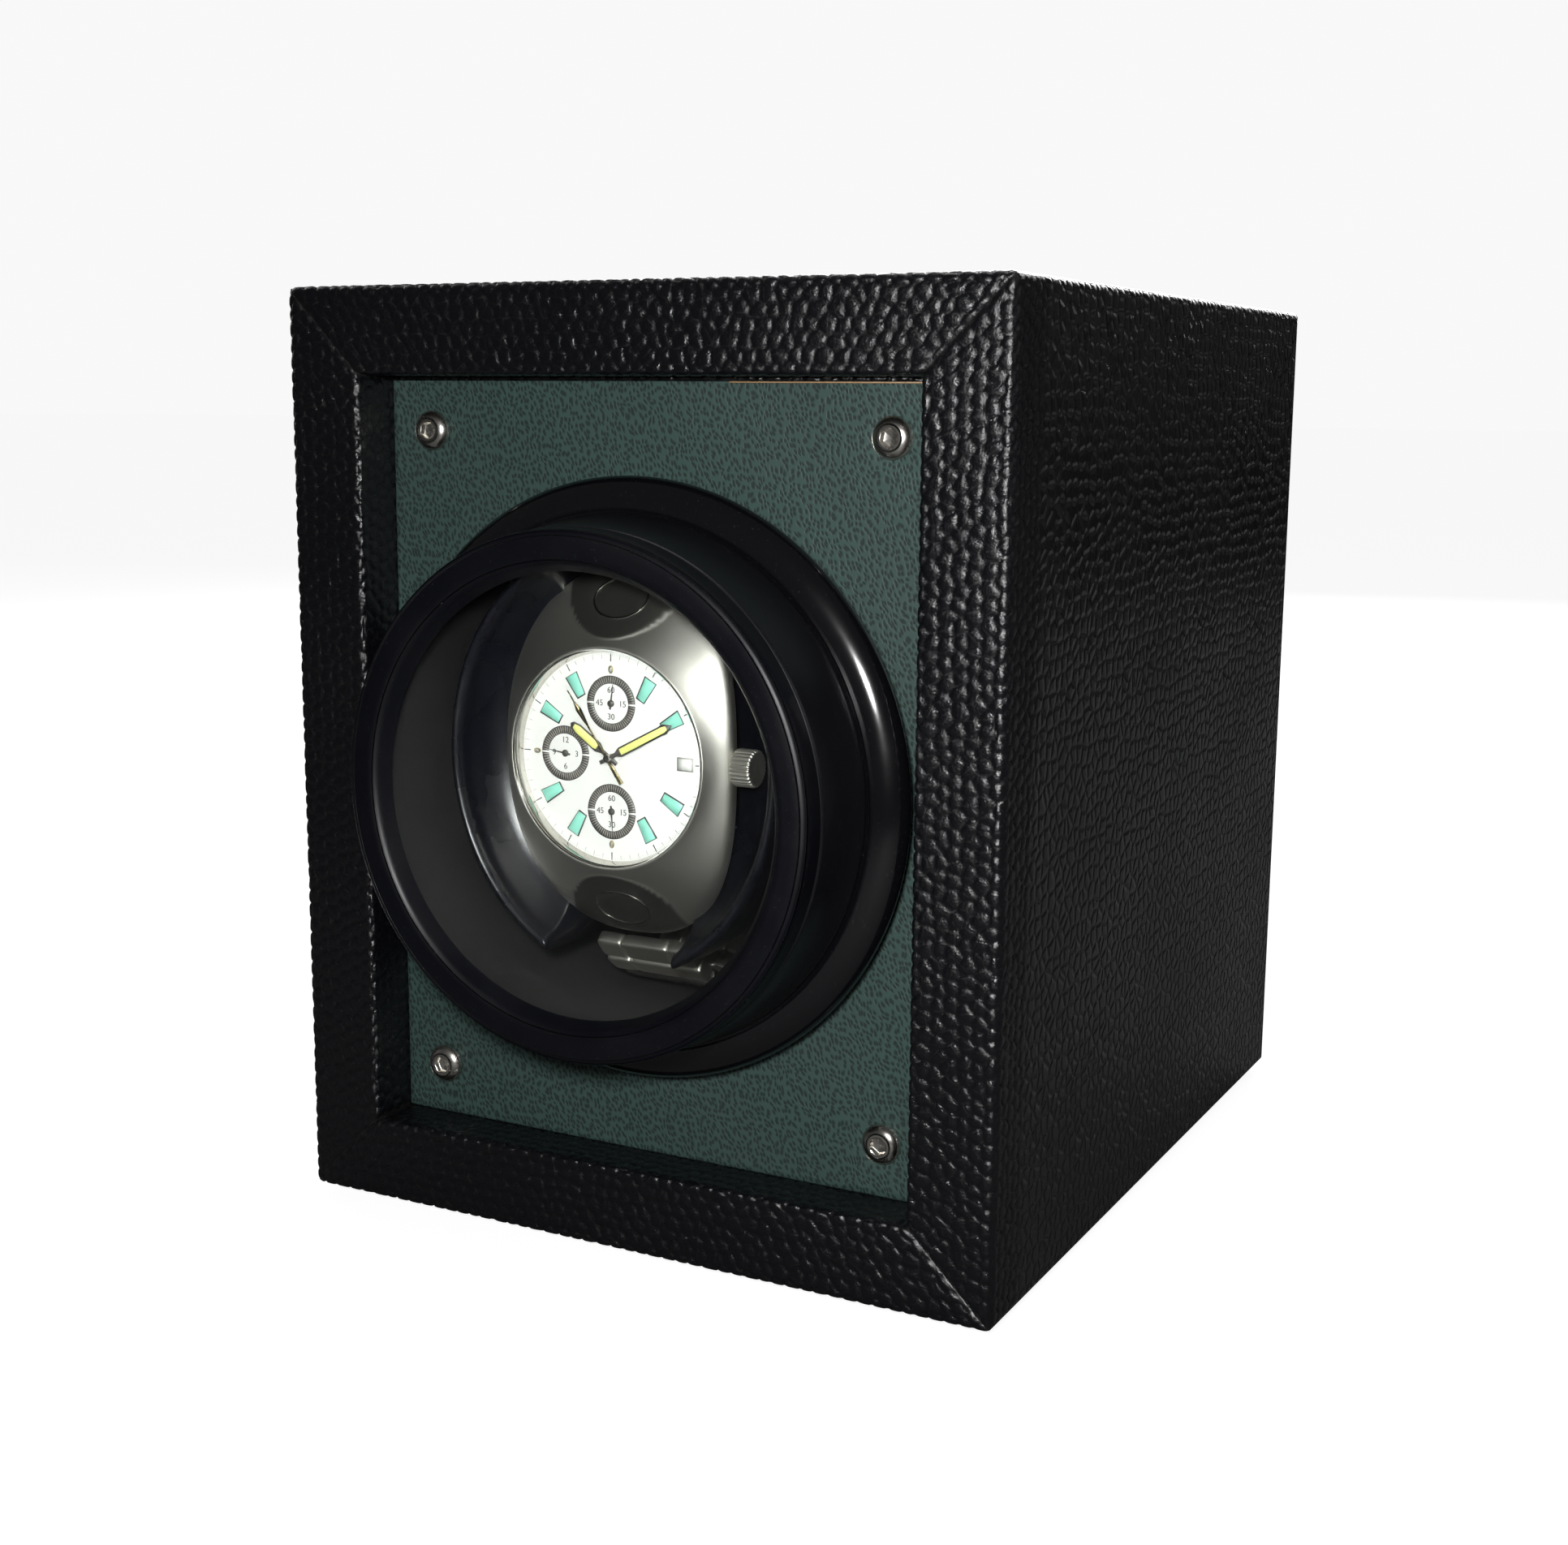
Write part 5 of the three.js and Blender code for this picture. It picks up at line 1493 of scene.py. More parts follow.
@dataclass
class WatchCase:
    """Pebble-shaped watch case, bent back round the wrist, with a raised seat for the crystal."""

    datum: Datum
    half_width: float = 20.5
    half_height: float = 29.0
    power: float = 2.4
    front: float = 4.4
    back: float = 4.0
    bend: float = 0.0062
    bezel: float = 17.25
    pad_centre: float = 29.3
    pad_radius: float = 11.0
    pad_drop: float = 0.22
    seat_depth: float = -4.22
    oval_half_width: float = 4.7
    oval_half_height: float = 2.9
    oval_centre: float = 24.3
    oval_wire: float = 0.17
    columns: int = 260

    def reach(self, angle: Array) -> Array:
        """Outline radius at an angle: (|cos| / half width)^p + (|sin| / half height)^p = r^-p.

        Args:
            angle: Angles round the watch's centre.

        Returns:
            Radii in millimetres.
        """
        across = np.abs(np.cos(angle)) / self.half_width
        along = np.abs(np.sin(angle)) / self.half_height
        return (across ** self.power + along ** self.power) ** (-1 / self.power)

    def bulge(self, share: Array) -> Array:
        """Thickness left at a share of the way out: (1 - share squared) to the power 1 / p."""
        return np.clip(1 - share ** 2, 0, 1) ** (1 / self.power)

    def front_at(self, x: Array, z: Array) -> Array:
        """Depth of the case's front, with the slope that climbs to the crystal.

        Args:
            x: Distance to the right of the watch's centre.
            z: Height above it, of a shape that goes with x.

        Returns:
            Depths in millimetres.
        """
        radius, angle = np.hypot(x, z), np.arctan2(z, x)
        rim = self.reach(angle)
        bare = -self.front * self.bulge(radius / rim) + self.bend * z * z
        climb = np.clip((radius - self.bezel) / ((rim - self.bezel) * 0.85), 0, 1)
        seat = -self.front * self.bulge(self.bezel / rim) + self.bend * (self.bezel * np.sin(angle)) ** 2
        return bare + (self.seat_depth - seat) * (1 - climb) ** 2.2

    def pad(self, x: Array, z: Array) -> Array:
        """1 inside the two round pads at the ends of the case, 0 outside."""
        gap = np.hypot(x, np.abs(z) - self.pad_centre) - self.pad_radius
        return 1 - smoothstep(-0.22, 0.05, gap)

    def build(self) -> None:
        """Makes the case, its two pads and the plain oval line on each."""
        angle = full_turn(self.columns)
        rim = self.reach(angle)
        seat = np.array([(16.25, -1.4), (16.25, -2.05), (16.9, -3.4), (16.95, -3.5), (16.95, -4.15),
                         (17.1, -4.25)])
        radius = np.repeat(seat[:, 0:1], self.columns, 1)
        depth = np.repeat(seat[:, 1:2], self.columns, 1)
        t = np.linspace(0, 1, 90)[:, None]
        first = self.bezel / rim
        share = first + (1 - first) * np.sin(np.pi / 2 * t)
        out = share * rim
        x, z = out * np.cos(angle), out * np.sin(angle)
        pad = self.pad(x, z)
        front = self.front_at(x, z) - self.pad_drop * pad
        share_back = np.cos(np.pi / 2 * np.linspace(0, 1, 40)[1:, None]) * 0.998 + 0.002
        back_out = share_back * rim
        back = self.back * self.bulge(share_back) + self.bend * (back_out * np.sin(angle)) ** 2
        radius = np.vstack([radius, out, back_out])
        depth = np.vstack([depth, front, back])
        grid = self.datum.points(radius * np.cos(angle), depth, radius * np.sin(angle), self.datum.watch_z)
        obj = loft("watch_body", grid)
        mask = np.vstack([np.zeros((len(seat), self.columns)), pad, np.zeros_like(back)])
        give_attribute(obj, "accent", mask * 0.8)
        dress(obj, "rotor", TITANIUM, ["watch_case"])
        for place, sign in (("top", 1), ("bottom", -1)):
            a = full_turn(120)[:, None]
            b = full_turn(10)[None, :]
            swell = self.oval_wire * np.cos(b)
            ring_x = (self.oval_half_width + swell) * np.cos(a)
            ring_z = sign * self.oval_centre + (self.oval_half_height + swell) * np.sin(a)
            ring_y = self.front_at(ring_x, ring_z) - self.pad_drop - 0.12 * np.sin(b)
            grid = self.datum.points(ring_x, ring_y, ring_z, self.datum.watch_z)
            dress(loft(f"case_oval_{place}", grid, ring=True), "rotor", POLISHED)


@dataclass
class WatchFace:
    """White chronograph dial with plain markers, numbered small dials, hands and crystal."""

    datum: Datum
    radius: float = 16.2
    face: float = -2.0
    marker_inner: float = 10.6
    marker_outer: float = 14.1
    oval_reach: float = 13.5
    small_radius: float = 4.3
    small_inner: float = 3.05
    small_places: tuple = ((0.0, 8.3), (0.0, -8.4), (-8.3, 0.0))
    small_numbers: tuple = (("60", "15", "30", "45"), ("60", "15", "30", "45"), ("12", "3", "6", "9"))
    small_bearings: tuple = (8.0, 176.0, 278.0)
    sunk: float = 0.02
    number_size: float = 1.32
    number_reach: float = 2.05

    def flat(self, name: str, outline: Array, finish: Finish, rise: float = 0.05, slot: str = "dial",
             base: Optional[float] = None, bevel: float = 0.0) -> Piece:
        """A thin raised piece that stands on the dial or on another depth.

        Args:
            name: Name of the piece.
            outline: (n, 2) points about the watch's centre.
            finish: Its finish.
            rise: How far it stands up.
            slot: Not used.
            base: Depth that it stands on, or None for the dial.
            bevel: Width of its front bevel.

        Returns:
            The piece.
        """
        back = self.face if base is None else base
        obj = prism(name, outline, self.datum, back - rise, back + self.sunk, bevel)
        return dress(obj, "rotor", finish)

    def ring(self, centre: tuple[float, float], inner: float, outer: float, rise: float) -> Array:
        """Grid of a flat ring about a point of the dial, of rectangular section.

        Args:
            centre: Its middle.
            inner: Inner radius.
            outer: Outer radius.
            rise: How far it stands up from the dial.

        Returns:
            (n, 4, 3) positions in metres.
        """
        a = full_turn(96)[:, None]
        r = np.array([inner, outer, outer, inner])
        y = self.face + np.array([-rise, -rise, self.sunk, self.sunk])
        return self.datum.points(centre[0] + r * np.cos(a), y, centre[1] + r * np.sin(a), self.datum.watch_z)

    def ticks(self, name: str, centre: tuple[float, float], inner: float, outer: float, count: int,
              width: float, finish: Finish, rise: float) -> None:
        """A set of equal radial strokes in one mesh: each is a box of four corners, front and back.

        Args:
            name: Name of the piece.
            centre: Middle of the circle that they stand on.
            inner: Radius that they start at.
            outer: Radius that they end at.
            count: Number of strokes.
            width: Width of a stroke.
            finish: Their finish.
            rise: How far they stand up from the dial.
        """
        a = np.arange(count) * 2 * np.pi / count
        way = np.stack([np.sin(a), np.cos(a)], -1)
        side = np.stack([np.cos(a), -np.sin(a)], -1)
        corners = [(inner, -1), (outer, -1), (outer, 1), (inner, 1)]
        flat = np.stack([way * r + side * s * width / 2 for r, s in corners], 1) + np.asarray(centre)
        both = np.concatenate([flat, flat], 1)
        depth = np.repeat([self.face - rise, self.face + self.sunk], 4)
        points = self.datum.points(both[..., 0], depth, both[..., 1], self.datum.watch_z)
        box_faces = np.array([[0, 1, 2, 3], [7, 6, 5, 4], [0, 4, 5, 1], [1, 5, 6, 2], [2, 6, 7, 3],
                              [3, 7, 4, 0]])
        quads = (box_faces[None] + 8 * np.arange(count)[:, None, None]).reshape(-1, 4)
        dress(mesh_from(name, points.reshape(-1, 3), quads), "rotor", finish)

    def number(self, text: str, centre: tuple[float, float], size: float) -> Piece:
        """A number standing on the dial, made a mesh before it is placed.

        Args:
            text: The number.
            centre: Its middle on the dial.
            size: Its height.

        Returns:
            The object.
        """
        curve = bpy.data.curves.new(f"number_{text}", "FONT")
        curve.body = text
        curve.size = size * MM
        curve.extrude = 0.02 * MM
        curve.align_x = "CENTER"
        curve.align_y = "CENTER"
        holder = placed(f"number_{text}", curve)
        made = bpy.data.meshes.new_from_object(holder.evaluated_get(bpy.context.evaluated_depsgraph_get()))
        bpy.data.objects.remove(holder)
        flat = vectors_of(made.vertices, "co")
        spots = np.stack([
            centre[0] * MM + flat[:, 0],
            self.datum.depth(self.face - 0.03) - flat[:, 2],
            self.datum.watch_z + centre[1] * MM + flat[:, 1],
        ], -1)
        made.vertices.foreach_set("co", spots.astype(np.float32).ravel())
        return placed(f"number_{text}", made)

    def small_dial(self, index: int) -> None:
        """One small dial: dark ring with light strokes, four numbers and a hand.

        Args:
            index: Which of the small dials.
        """
        centre, inner, outer = self.small_places[index], self.small_inner, self.small_radius
        count = index + 1
        ring = loft(f"small_ring_{count}", self.ring(centre, inner, outer, 0.03), ring=True)
        dress(ring, "rotor", DIAL_INK)
        self.ticks(f"small_strokes_{count}", centre, inner + 0.1, outer - 0.15, 60, 0.07, DIAL_GREY, 0.045)
        bar = mirrored([(0.14, -outer - 0.02), (0.14, -inner)])
        for bearing, side in ((90, "right"), (-90, "left")):
            self.flat(f"small_gap_{count}_{side}", bearing_outline(bar, bearing, centre), DIAL_WHITE, 0.055)
        numbers = []
        for quarter, text in enumerate(self.small_numbers[index]):
            a, reach = math.radians(90 * quarter), self.number_reach
            place = (centre[0] + reach * math.sin(a), centre[1] + reach * math.cos(a))
            numbers.append(self.number(text, place, self.number_size))
        dress(joined(f"small_numbers_{count}", numbers), "rotor", DIAL_INK)
        blade = bearing_outline(mirrored([(0.16, -0.9), (0.13, 0.5), (0.03, 3.0)]), self.small_bearings[index],
                                centre)
        self.flat(f"small_hand_{count}", blade, DIAL_INK, 0.06, base=self.face - 0.12)
        self.flat(f"small_hub_{count}", circle_outline(0.55, 32) + np.asarray(centre), DIAL_INK, 0.2)

    def markers(self) -> None:
        """Mint trapezoids at eight hours, each over a dark base drawn wider and shifted that is painted shadow;
        small ovals at 12, 6 and 9, a frame at 3.
        """
        shape = mirrored([(0.68, self.marker_inner), (0.98, self.marker_outer)])
        middle = shape.mean(0)
        # The dark base is the marker's painted shadow: wider than the marker and shifted off its middle.
        base = middle + (shape - middle) * (1.2, 1.085) + (-0.05, -0.05)
        for hour in (1, 2, 4, 5, 7, 8, 10, 11):
            self.flat(f"marker_base_{hour}", bearing_outline(base, 30 * hour), DIAL_INK, 0.1)
            self.flat(f"marker_{hour}", bearing_outline(shape, 30 * hour), MINT, 0.2, bevel=0.05)
        for hour in (12, 6, 9):
            oval = circle_outline(1.0, 40) * (0.42, 0.62) + (0, self.oval_reach)
            self.flat(f"marker_{hour}", bearing_outline(oval, 30 * hour), GOLD, 0.18, bevel=0.08)
            inside = circle_outline(1.0, 32) * (0.22, 0.4) + (0, self.oval_reach)
            self.flat(f"marker_fill_{hour}", bearing_outline(inside, 30 * hour), DIAL_GREY, 0.2)
        frame_bar = mirrored([(1.05, 11.6), (1.05, 14.4)])
        plate = (frame_bar - frame_bar.mean(0)) * 0.8 + frame_bar.mean(0)
        self.flat("marker_frame_3", bearing_outline(frame_bar, 90), DIAL_GREY, 0.06)
        self.flat("marker_plate_3", bearing_outline(plate, 90), DIAL_WHITE, 0.09)

    def hand(self, name: str, node: str, body: str, bearing: float, depth: float, blade: Array,
             fill: Optional[Array]) -> None:
        """A hand: a dark metal blade, and a luminous strip let into its front.

        Args:
            name: Name of the piece.
            node: The CAD hand that it stands for.
            body: Body that it rides on.
            bearing: Degrees clockwise from the top.
            depth: Depth of its middle.
            blade: Outline of the blade, pointing up.
            fill: Outline of the strip, or None for a plain gilt hand.
        """
        obj = prism(name, bearing_outline(blade, bearing), self.datum, depth - 0.1, depth + 0.1, 0.04)
        dress(obj, body, DIAL_INK if fill is not None else GOLD, [node])
        if fill is not None:
            strip = prism(f"{name}_lume", bearing_outline(fill, bearing), self.datum, depth - 0.15, depth, 0.03)
            dress(strip, body, LUME)

    def hands(self) -> None:
        """The hour, minute and stopwatch hands, each on its own body."""
        boxes = (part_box(f"watch_{name}_hand") for name in ("hour", "minute", "stopwatch"))
        hour_y, minute_y, stop_y = (((low.y + high.y) / 2 - self.datum.front) / MM for low, high in boxes)
        hour = mirrored([(0.32, -1.5), (0.34, 1.6), (0.84, 2.6), (0.84, 7.0), (0.5, 8.2), (0, 8.55)])
        hour_fill = mirrored([(0.42, 2.7), (0.62, 3.2), (0.62, 6.9), (0.36, 7.8)])
        minute = mirrored([(0.3, -1.7), (0.32, 1.5), (0.76, 2.4), (0.7, 10.9), (0.82, 11.2), (0, 12.7)])
        minute_fill = mirrored([(0.5, 2.5), (0.48, 11.0), (0.3, 11.7)])
        stop = mirrored([(0.36, -4.5), (0.3, -1.6), (0.1, -0.8), (0.1, 8.8), (0.45, 8.9), (0.07, 10.2),
                         (0.05, 12.3)])
        self.hand("hour_blade", "watch_hour_hand", "hour_hand", 305.2, hour_y, hour, hour_fill)
        self.hand("minute_blade", "watch_minute_hand", "minute_hand", 62.0, minute_y, minute, minute_fill)
        self.hand("stopwatch_blade", "watch_stopwatch_hand", "stopwatch_hand", 325.0, stop_y, stop, None)
        rise = stop_y * -1 + self.face + 0.22
        self.flat("hand_hub", circle_outline(0.62, 40), POLISHED, rise, slot="hand_metal", bevel=0.1)

    def build(self) -> None:
        """Makes the dial plate, its track, small dials, markers, hands and crystal."""
        plate = rounded([(0.05, self.face), (self.radius, self.face), (self.radius, -1.5), (0.05, -1.5)],
                        [0, 0.05, 0.05, 0], 3)
        lift = (self.datum.watch_z - self.datum.axis_z) / MM
        dial = revolve("dial_plate", plate, self.datum, 160, ring=False, lift=lift)
        dress(dial, "rotor", DIAL_WHITE, ["watch_dial"])
        self.ticks("minute_track", (0, 0), 15.15, 15.95, 60, 0.1, DIAL_GREY, 0.03)
        self.ticks("five_minute_track", (0, 0), 14.75, 15.95, 12, 0.16, DIAL_INK, 0.035)
        self.ticks("fine_track", (0, 0), 15.6, 15.95, 300, 0.05, DIAL_GREY, 0.025)
        slope = rounded([(16.05, -1.98), (16.24, -1.98), (16.86, -3.42), (16.6, -3.46)], [0.02] * 4, 3,
                        closed=True)
        dress(revolve("polished_flange", slope, self.datum, 200, lift=lift), "rotor", POLISHED)
        for index in range(len(self.small_places)):
            self.small_dial(index)
        self.markers()
        self.hands()
        pane = rounded([(0.05, -4.5), (16.9, -4.5), (16.9, -3.5), (0.05, -3.5)], [0, 0.25, 0.05, 0], 5)
        crystal = revolve("crystal_pane", pane, self.datum, 160, ring=False, lift=lift)
        dress(crystal, "rotor", CRYSTAL_CLEAR, ["watch_crystal"])


@dataclass
class Crown:
    """Fluted winding crown with a rounded end and its stem."""

    datum: Datum
    radius: float = 2.9
    start: float = 20.9
    length: float = 3.4
    flutes: int = 26

    def build(self) -> None:
        """Carries a profile round the x axis; the grip's radius is cut by |cos(flutes a / 2)|."""
        r, start, end = self.radius, self.start, self.start + self.length
        profile = rounded([(17.2, 0.05), (17.2, 0.8), (start, 0.8), (start, r), (end, r), (end, 1.6),
                           (end - 0.1, 0.05)], [0, 0, 0, 0.35, 0.5, 0.2, 0], 6)
        profile = resample(profile, 0.4)
        a = full_turn(self.flutes * 8)[None, :]
        x, radius = profile[:, 0:1], profile[:, 1:2]
        grip = smoothstep(1.7, 2.5, radius)
        cut = 0.28 * (1 - np.abs(np.cos(self.flutes * a / 2))) ** 1.5
        radius = radius - grip * cut
        grid = self.datum.points(x, radius * np.cos(a), radius * np.sin(a), self.datum.watch_z)
        dress(loft("crown_grip", grid), "crown", TITANIUM, ["watch_crown"])


@dataclass
class Bracelet:
    """Metal links round the back of the cuff, closed by a clasp bar below the watch."""

    datum: Datum
    width: float = 17.5
    thick: float = 2.5
    pitch: float = 4.3
    stops: tuple = ((7.2, -31.2), (12.5, -36.5), (20, -39.2), (28, -35.5), (32.4, -23), (33.4, -3),
                    (31.4, 15), (25, 25.5), (17, 28.6), (8, 29.8))
    rows: int = 14
    columns: int = 28

    def path(self) -> tuple[Array, Array]:
        """Middles of the links and the directions along them, evenly spaced on the band's curve.

        Returns:
            (n, 2) places and (n, 2) unit directions, as (depth, height above the watch's centre).
        """
        curve = smooth_curve(self.stops, 40)
        run = np.concatenate([[0], np.cumsum(np.linalg.norm(np.diff(curve, axis=0), axis=1))])
        count = int(run[-1] / self.pitch)
        at = (np.arange(count) + 0.5) * run[-1] / count
        places = np.stack([np.interp(at, run, curve[:, i]) for i in range(2)], -1)
        ahead = np.stack([np.interp(at + 0.4, run, curve[:, i]) for i in range(2)], -1)
        behind = np.stack([np.interp(at - 0.4, run, curve[:, i]) for i in range(2)], -1)
        way = ahead - behind
        return places, way / np.linalg.norm(way, axis=1, keepdims=True)

    def bars(self, name: str, places: Array, ways: Array, x0: float, x1: float, long: float,
             thick: float) -> Piece:
        """Rounded bars across the band, one for each place, in one mesh.

        A bar's section is |u|^5 + |v|^5 = 1 drawn to its length and thickness, and it shrinks over
        the last part of its width by the same rule, so its ends are rounded too.

        Args:
            name: Name of the piece.
            places: (n, 2) middles.
            ways: (n, 2) directions along the band.
            x0: Left end.
            x1: Right end.
            long: Length along the band.
            thick: Thickness.

        Returns:
            The object.
        """
        t = eased(self.rows)
        end = 1 - (np.abs(t) ** 9)
        shrink = (0.82 + 0.18 * end ** 0.5)[:, None]
        shrink[[0, -1]] = 0.8
        u, v = squared_circle(full_turn(self.columns), 5)
        u, v = u * long / 2, v * thick / 2
        x = (x0 + x1) / 2 + t * (x1 - x0) / 2
        across = np.stack([-ways[:, 1], ways[:, 0]], -1)
        flat = (places[:, None, None, :] + (shrink * u)[None, :, :, None] * ways[:, None, None, :]
                + (shrink * v)[None, :, :, None] * across[:, None, None, :])
        points = self.datum.points(x[None, :, None], flat[..., 0], flat[..., 1], self.datum.watch_z)
        count, rows, cols, _ = points.shape
        quads = grid_faces(rows, cols, False)
        ends = np.stack([points[:, 0].mean(1), points[:, -1].mean(1)], 1)
        every = np.concatenate([points.reshape(count, -1, 3), ends], 1)
        stride = every.shape[1] * np.arange(count)[:, None, None]
        tris = (end_fans(rows, cols)[None] + stride).reshape(-1, 3)
        return mesh_from(name, every.reshape(-1, 3), (quads[None] + stride).reshape(-1, 4), tris)

    def build(self) -> None:
        """Makes three columns of links, and the polished clasp bar."""
        places, ways = self.path()
        half = self.width / 2
        links = np.delete(np.arange(len(places)), 2)
        columns = ((-half, -half + 4.4), (-half + 4.55, half - 4.55), (half - 4.4, half))
        parts = [self.bars(f"links_{i}", places[links], ways[links], x0, x1, self.pitch - 0.12, self.thick)
                 for i, (x0, x1) in enumerate(columns)]
        dress(joined("bracelet_links", parts), "rotor", TITANIUM, ["watch_bracelet"])
        clasp = self.bars("clasp_bar", places[2:3], ways[2:3], -half + 0.3, half - 0.3, 2.7, self.thick + 0.5)
        dress(clasp, "rotor", POLISHED)


# ---- back of the case


@dataclass
class Door:
    """Battery door with a scooped finger pull and grip ribs, hung on two pins."""

    datum: Datum
    width: float = 71.2
    height: float = 67.2
    sill: float = 22.4
    back: float = 138.0
    thick: float = 3.0
    pin: float = 1.0

    def build(self) -> None:
        """Makes the leaf as a grid over a rounded section, its outer face pressed in by a scoop
        and raised by ribs, and the hinge pins as one rod."""
        base, top = self.sill, self.sill + self.height
        inner = self.back - self.thick
        section = rounded(
            [(base, inner), (top, inner), (top, self.back), (base, self.back)],
            [1.45, 0.2, 0.7, 1.45], 8, closed=True)
        section = resample(section, 0.55, closed=True)
        t = eased(150)[:, None]
        x = t * self.width / 2
        z, y = section[:, 0][None, :] + 0 * x, section[:, 1][None, :] + 0 * x
        face = (y > self.back - 0.02) * 1.0
        edge = smoothstep(self.width / 2, self.width / 2 - 0.9, np.abs(x))
        scoop = np.exp(-((x / 9.0) ** 4)) * np.exp(-(((z - top + 5.5) / 3.6) ** 4))
        ribbed = (np.abs(x) < 22) * (np.abs(z - base - 20) < 9)
        ribs = ribbed * (0.5 + 0.5 * np.cos((z - base) * 2 * np.pi / 3.0))
        y = y - face * 1.5 * scoop
        y = y - face * 0.5 * (1 - edge) + face * (-0.35) * ribs
        leaf = loft("door_leaf", self.datum.points(x, y, z, self.datum.low))
        a = full_turn(32)[None, :]
        rod = np.array([(-37.6, 0.7), (-37.3, 1.0), (37.3, 1.0), (37.6, 0.7)])
        y = self.back - self.thick / 2 + rod[:, 1:2] * self.pin * np.cos(a)
        z = self.sill + self.thick / 2 + rod[:, 1:2] * self.pin * np.sin(a)
        pins = loft("door_pins", self.datum.points(rod[:, 0:1], y, z, self.datum.low))
        dress(joined("door_fine", [leaf, pins]), "door", TEXTURED_BLACK, ["battery_door"])


@dataclass
class Controls:
    """Selector knob, rocker switch and direct-current inlet on the back panel."""

    datum: Datum
    height: float = 116.0
    spacing: float = 28.0
    panel: float = 138.0
    knob_radius: float = 8.0
    knob_height: float = 8.0
    rocker_tilt: float = 7.0
    rocker_half: float = 4.2

    def knob(self) -> None:
        """Turns a profile about y; the skirt's radius is fluted by 18 shallow grooves."""
        foot = self.panel + 0.4
        top = foot + self.knob_height
        wide = self.knob_radius
        profile = rounded([(0.05, 123.7), (3, 123.7), (3, foot), (wide, foot), (wide, foot + 1.4),
                           (7.3, foot + 1.9), (6.7, top), (0.05, top - 0.35)],
                          [0, 0.3, 0, 0.3, 0.4, 0.4, 0.9, 0], 7)
        profile = resample(profile, 0.5)
        a = full_turn(288)[None, :]
        r, y = profile[:, 0:1], profile[:, 1:2]
        skirt = smoothstep(foot + 1.8, foot + 2.6, y) * smoothstep(5.6, 6.4, r)
        r = r - skirt * 0.35 * np.abs(np.sin(9 * a)) ** 4
        x, z = r * np.cos(a), r * np.sin(a)
        pointer = (np.abs(x) < 0.55) * (z > 1.6) * (y > top - 1.2)
        y = y - 0.5 * pointer
        grid = self.datum.points(x, y, self.height + z, self.datum.low)
        dress(loft("knob_fine", grid), "knob", TEXTURED_BLACK, ["selector_knob"])

    def rocker(self) -> None:
        """The rocker's bent section carried up its height with rounded ends, at its rest tilt."""
        pivot_x, pivot_y = -self.spacing, self.panel - 3.4
        section = rounded([(-6.7, 4.6), (0, 3.7), (6.7, 4.6), (6.5, 1.6), (2.4, -2.4), (-2.4, -2.4),
                           (-6.5, 1.6)], [0.7, 3.0, 0.7, 0.4, 0.5, 0.5, 0.4], 7, closed=True)
        section = resample(section, 0.5, closed=True)
        tilt = math.radians(self.rocker_tilt)
        turn = np.array([[math.cos(tilt), math.sin(tilt)], [-math.sin(tilt), math.cos(tilt)]])
        t = eased(24)[:, None]
        shrink = 1 - 0.07 * np.abs(t) ** 8
        flat = (section[None] * shrink[:, :, None]) @ turn
        grid = self.datum.points(pivot_x + flat[..., 0], pivot_y + flat[..., 1],
                                 self.height + t * self.rocker_half, self.datum.low)
        dress(loft("rocker_paddle", grid), "rocker", BLACK_GLOSS, ["rocker"])

    def frame_ring(self) -> None:
        """The switch's bezel: a section carried round a rounded rectangle; a point at angle a of
        the ring lies on |x/w|^8 + |z/h|^8 = 1, and the wall behind the panel follows it."""
        u, v = squared_circle(full_turn(160), 8)
        section = np.array([(7.6, 4.5, -13.9), (7.6, 4.5, 1.2), (7.9, 4.8, 1.6), (9.9, 6.9, 1.6),
                            (10.5, 7.5, 1.3), (10.7, 7.7, 0.7), (10.7, 7.7, 0.05), (9.5, 6.5, 0.05),
                            (9.5, 6.5, -13.9)])
        x, z, y = section.T
        grid = self.datum.points(-self.spacing + x * u[:, None], self.panel + y,
                                 self.height + z * v[:, None], self.datum.low)
        ring = loft("rocker_bezel", grid, ring=True)
        x, z, y = np.array([(9.4, 6.4, -12.0), (9.4, 6.4, -13.9)]).T[:, :, None]
        floor = self.datum.points(-self.spacing + x * u * 0.99, self.panel + y,
                                  self.height + z * v * 0.99, self.datum.low)
        pieces = [ring, loft("rocker_floor", floor)]
        dress(joined("rocker_bezel", pieces), "case", TEXTURED_BLACK, ["rocker_frame"])

    def inlet(self) -> None:
        """The inlet's barrel and centre pin, turned about its own axis."""
        front = 122.05
        nose = self.panel + 0.6
        profile = rounded([(0.05, front), (5.5, front), (5.5, 133.7), (4, 133.7), (4, nose), (2.75, nose),
                           (2.75, front + 4), (0.65, front + 4), (0.65, nose - 2), (0.05, nose - 1.6)],
                          [0, 0.4, 0.3, 0, 0.35, 0.3, 0, 0, 0.3, 0], 5)
        a = full_turn(72)[None, :]
        r, y = profile[:, 0:1], profile[:, 1:2]
        grid = self.datum.points(self.spacing + r * np.cos(a), y, self.height + r * np.sin(a), self.datum.low)
        dress(loft("inlet_fine", grid), "case", TEXTURED_BLACK, ["dc_inlet"])

    def build(self) -> None:
        """Makes every control and the four screws of the back panel."""
        self.knob()
        self.rocker()
        self.frame_ring()
        self.inlet()
        for level in ("lower", "upper"):
            for side in SIDES:
                PANEL_SCREW.build(f"panel_screw_{level}_{side}", 1)


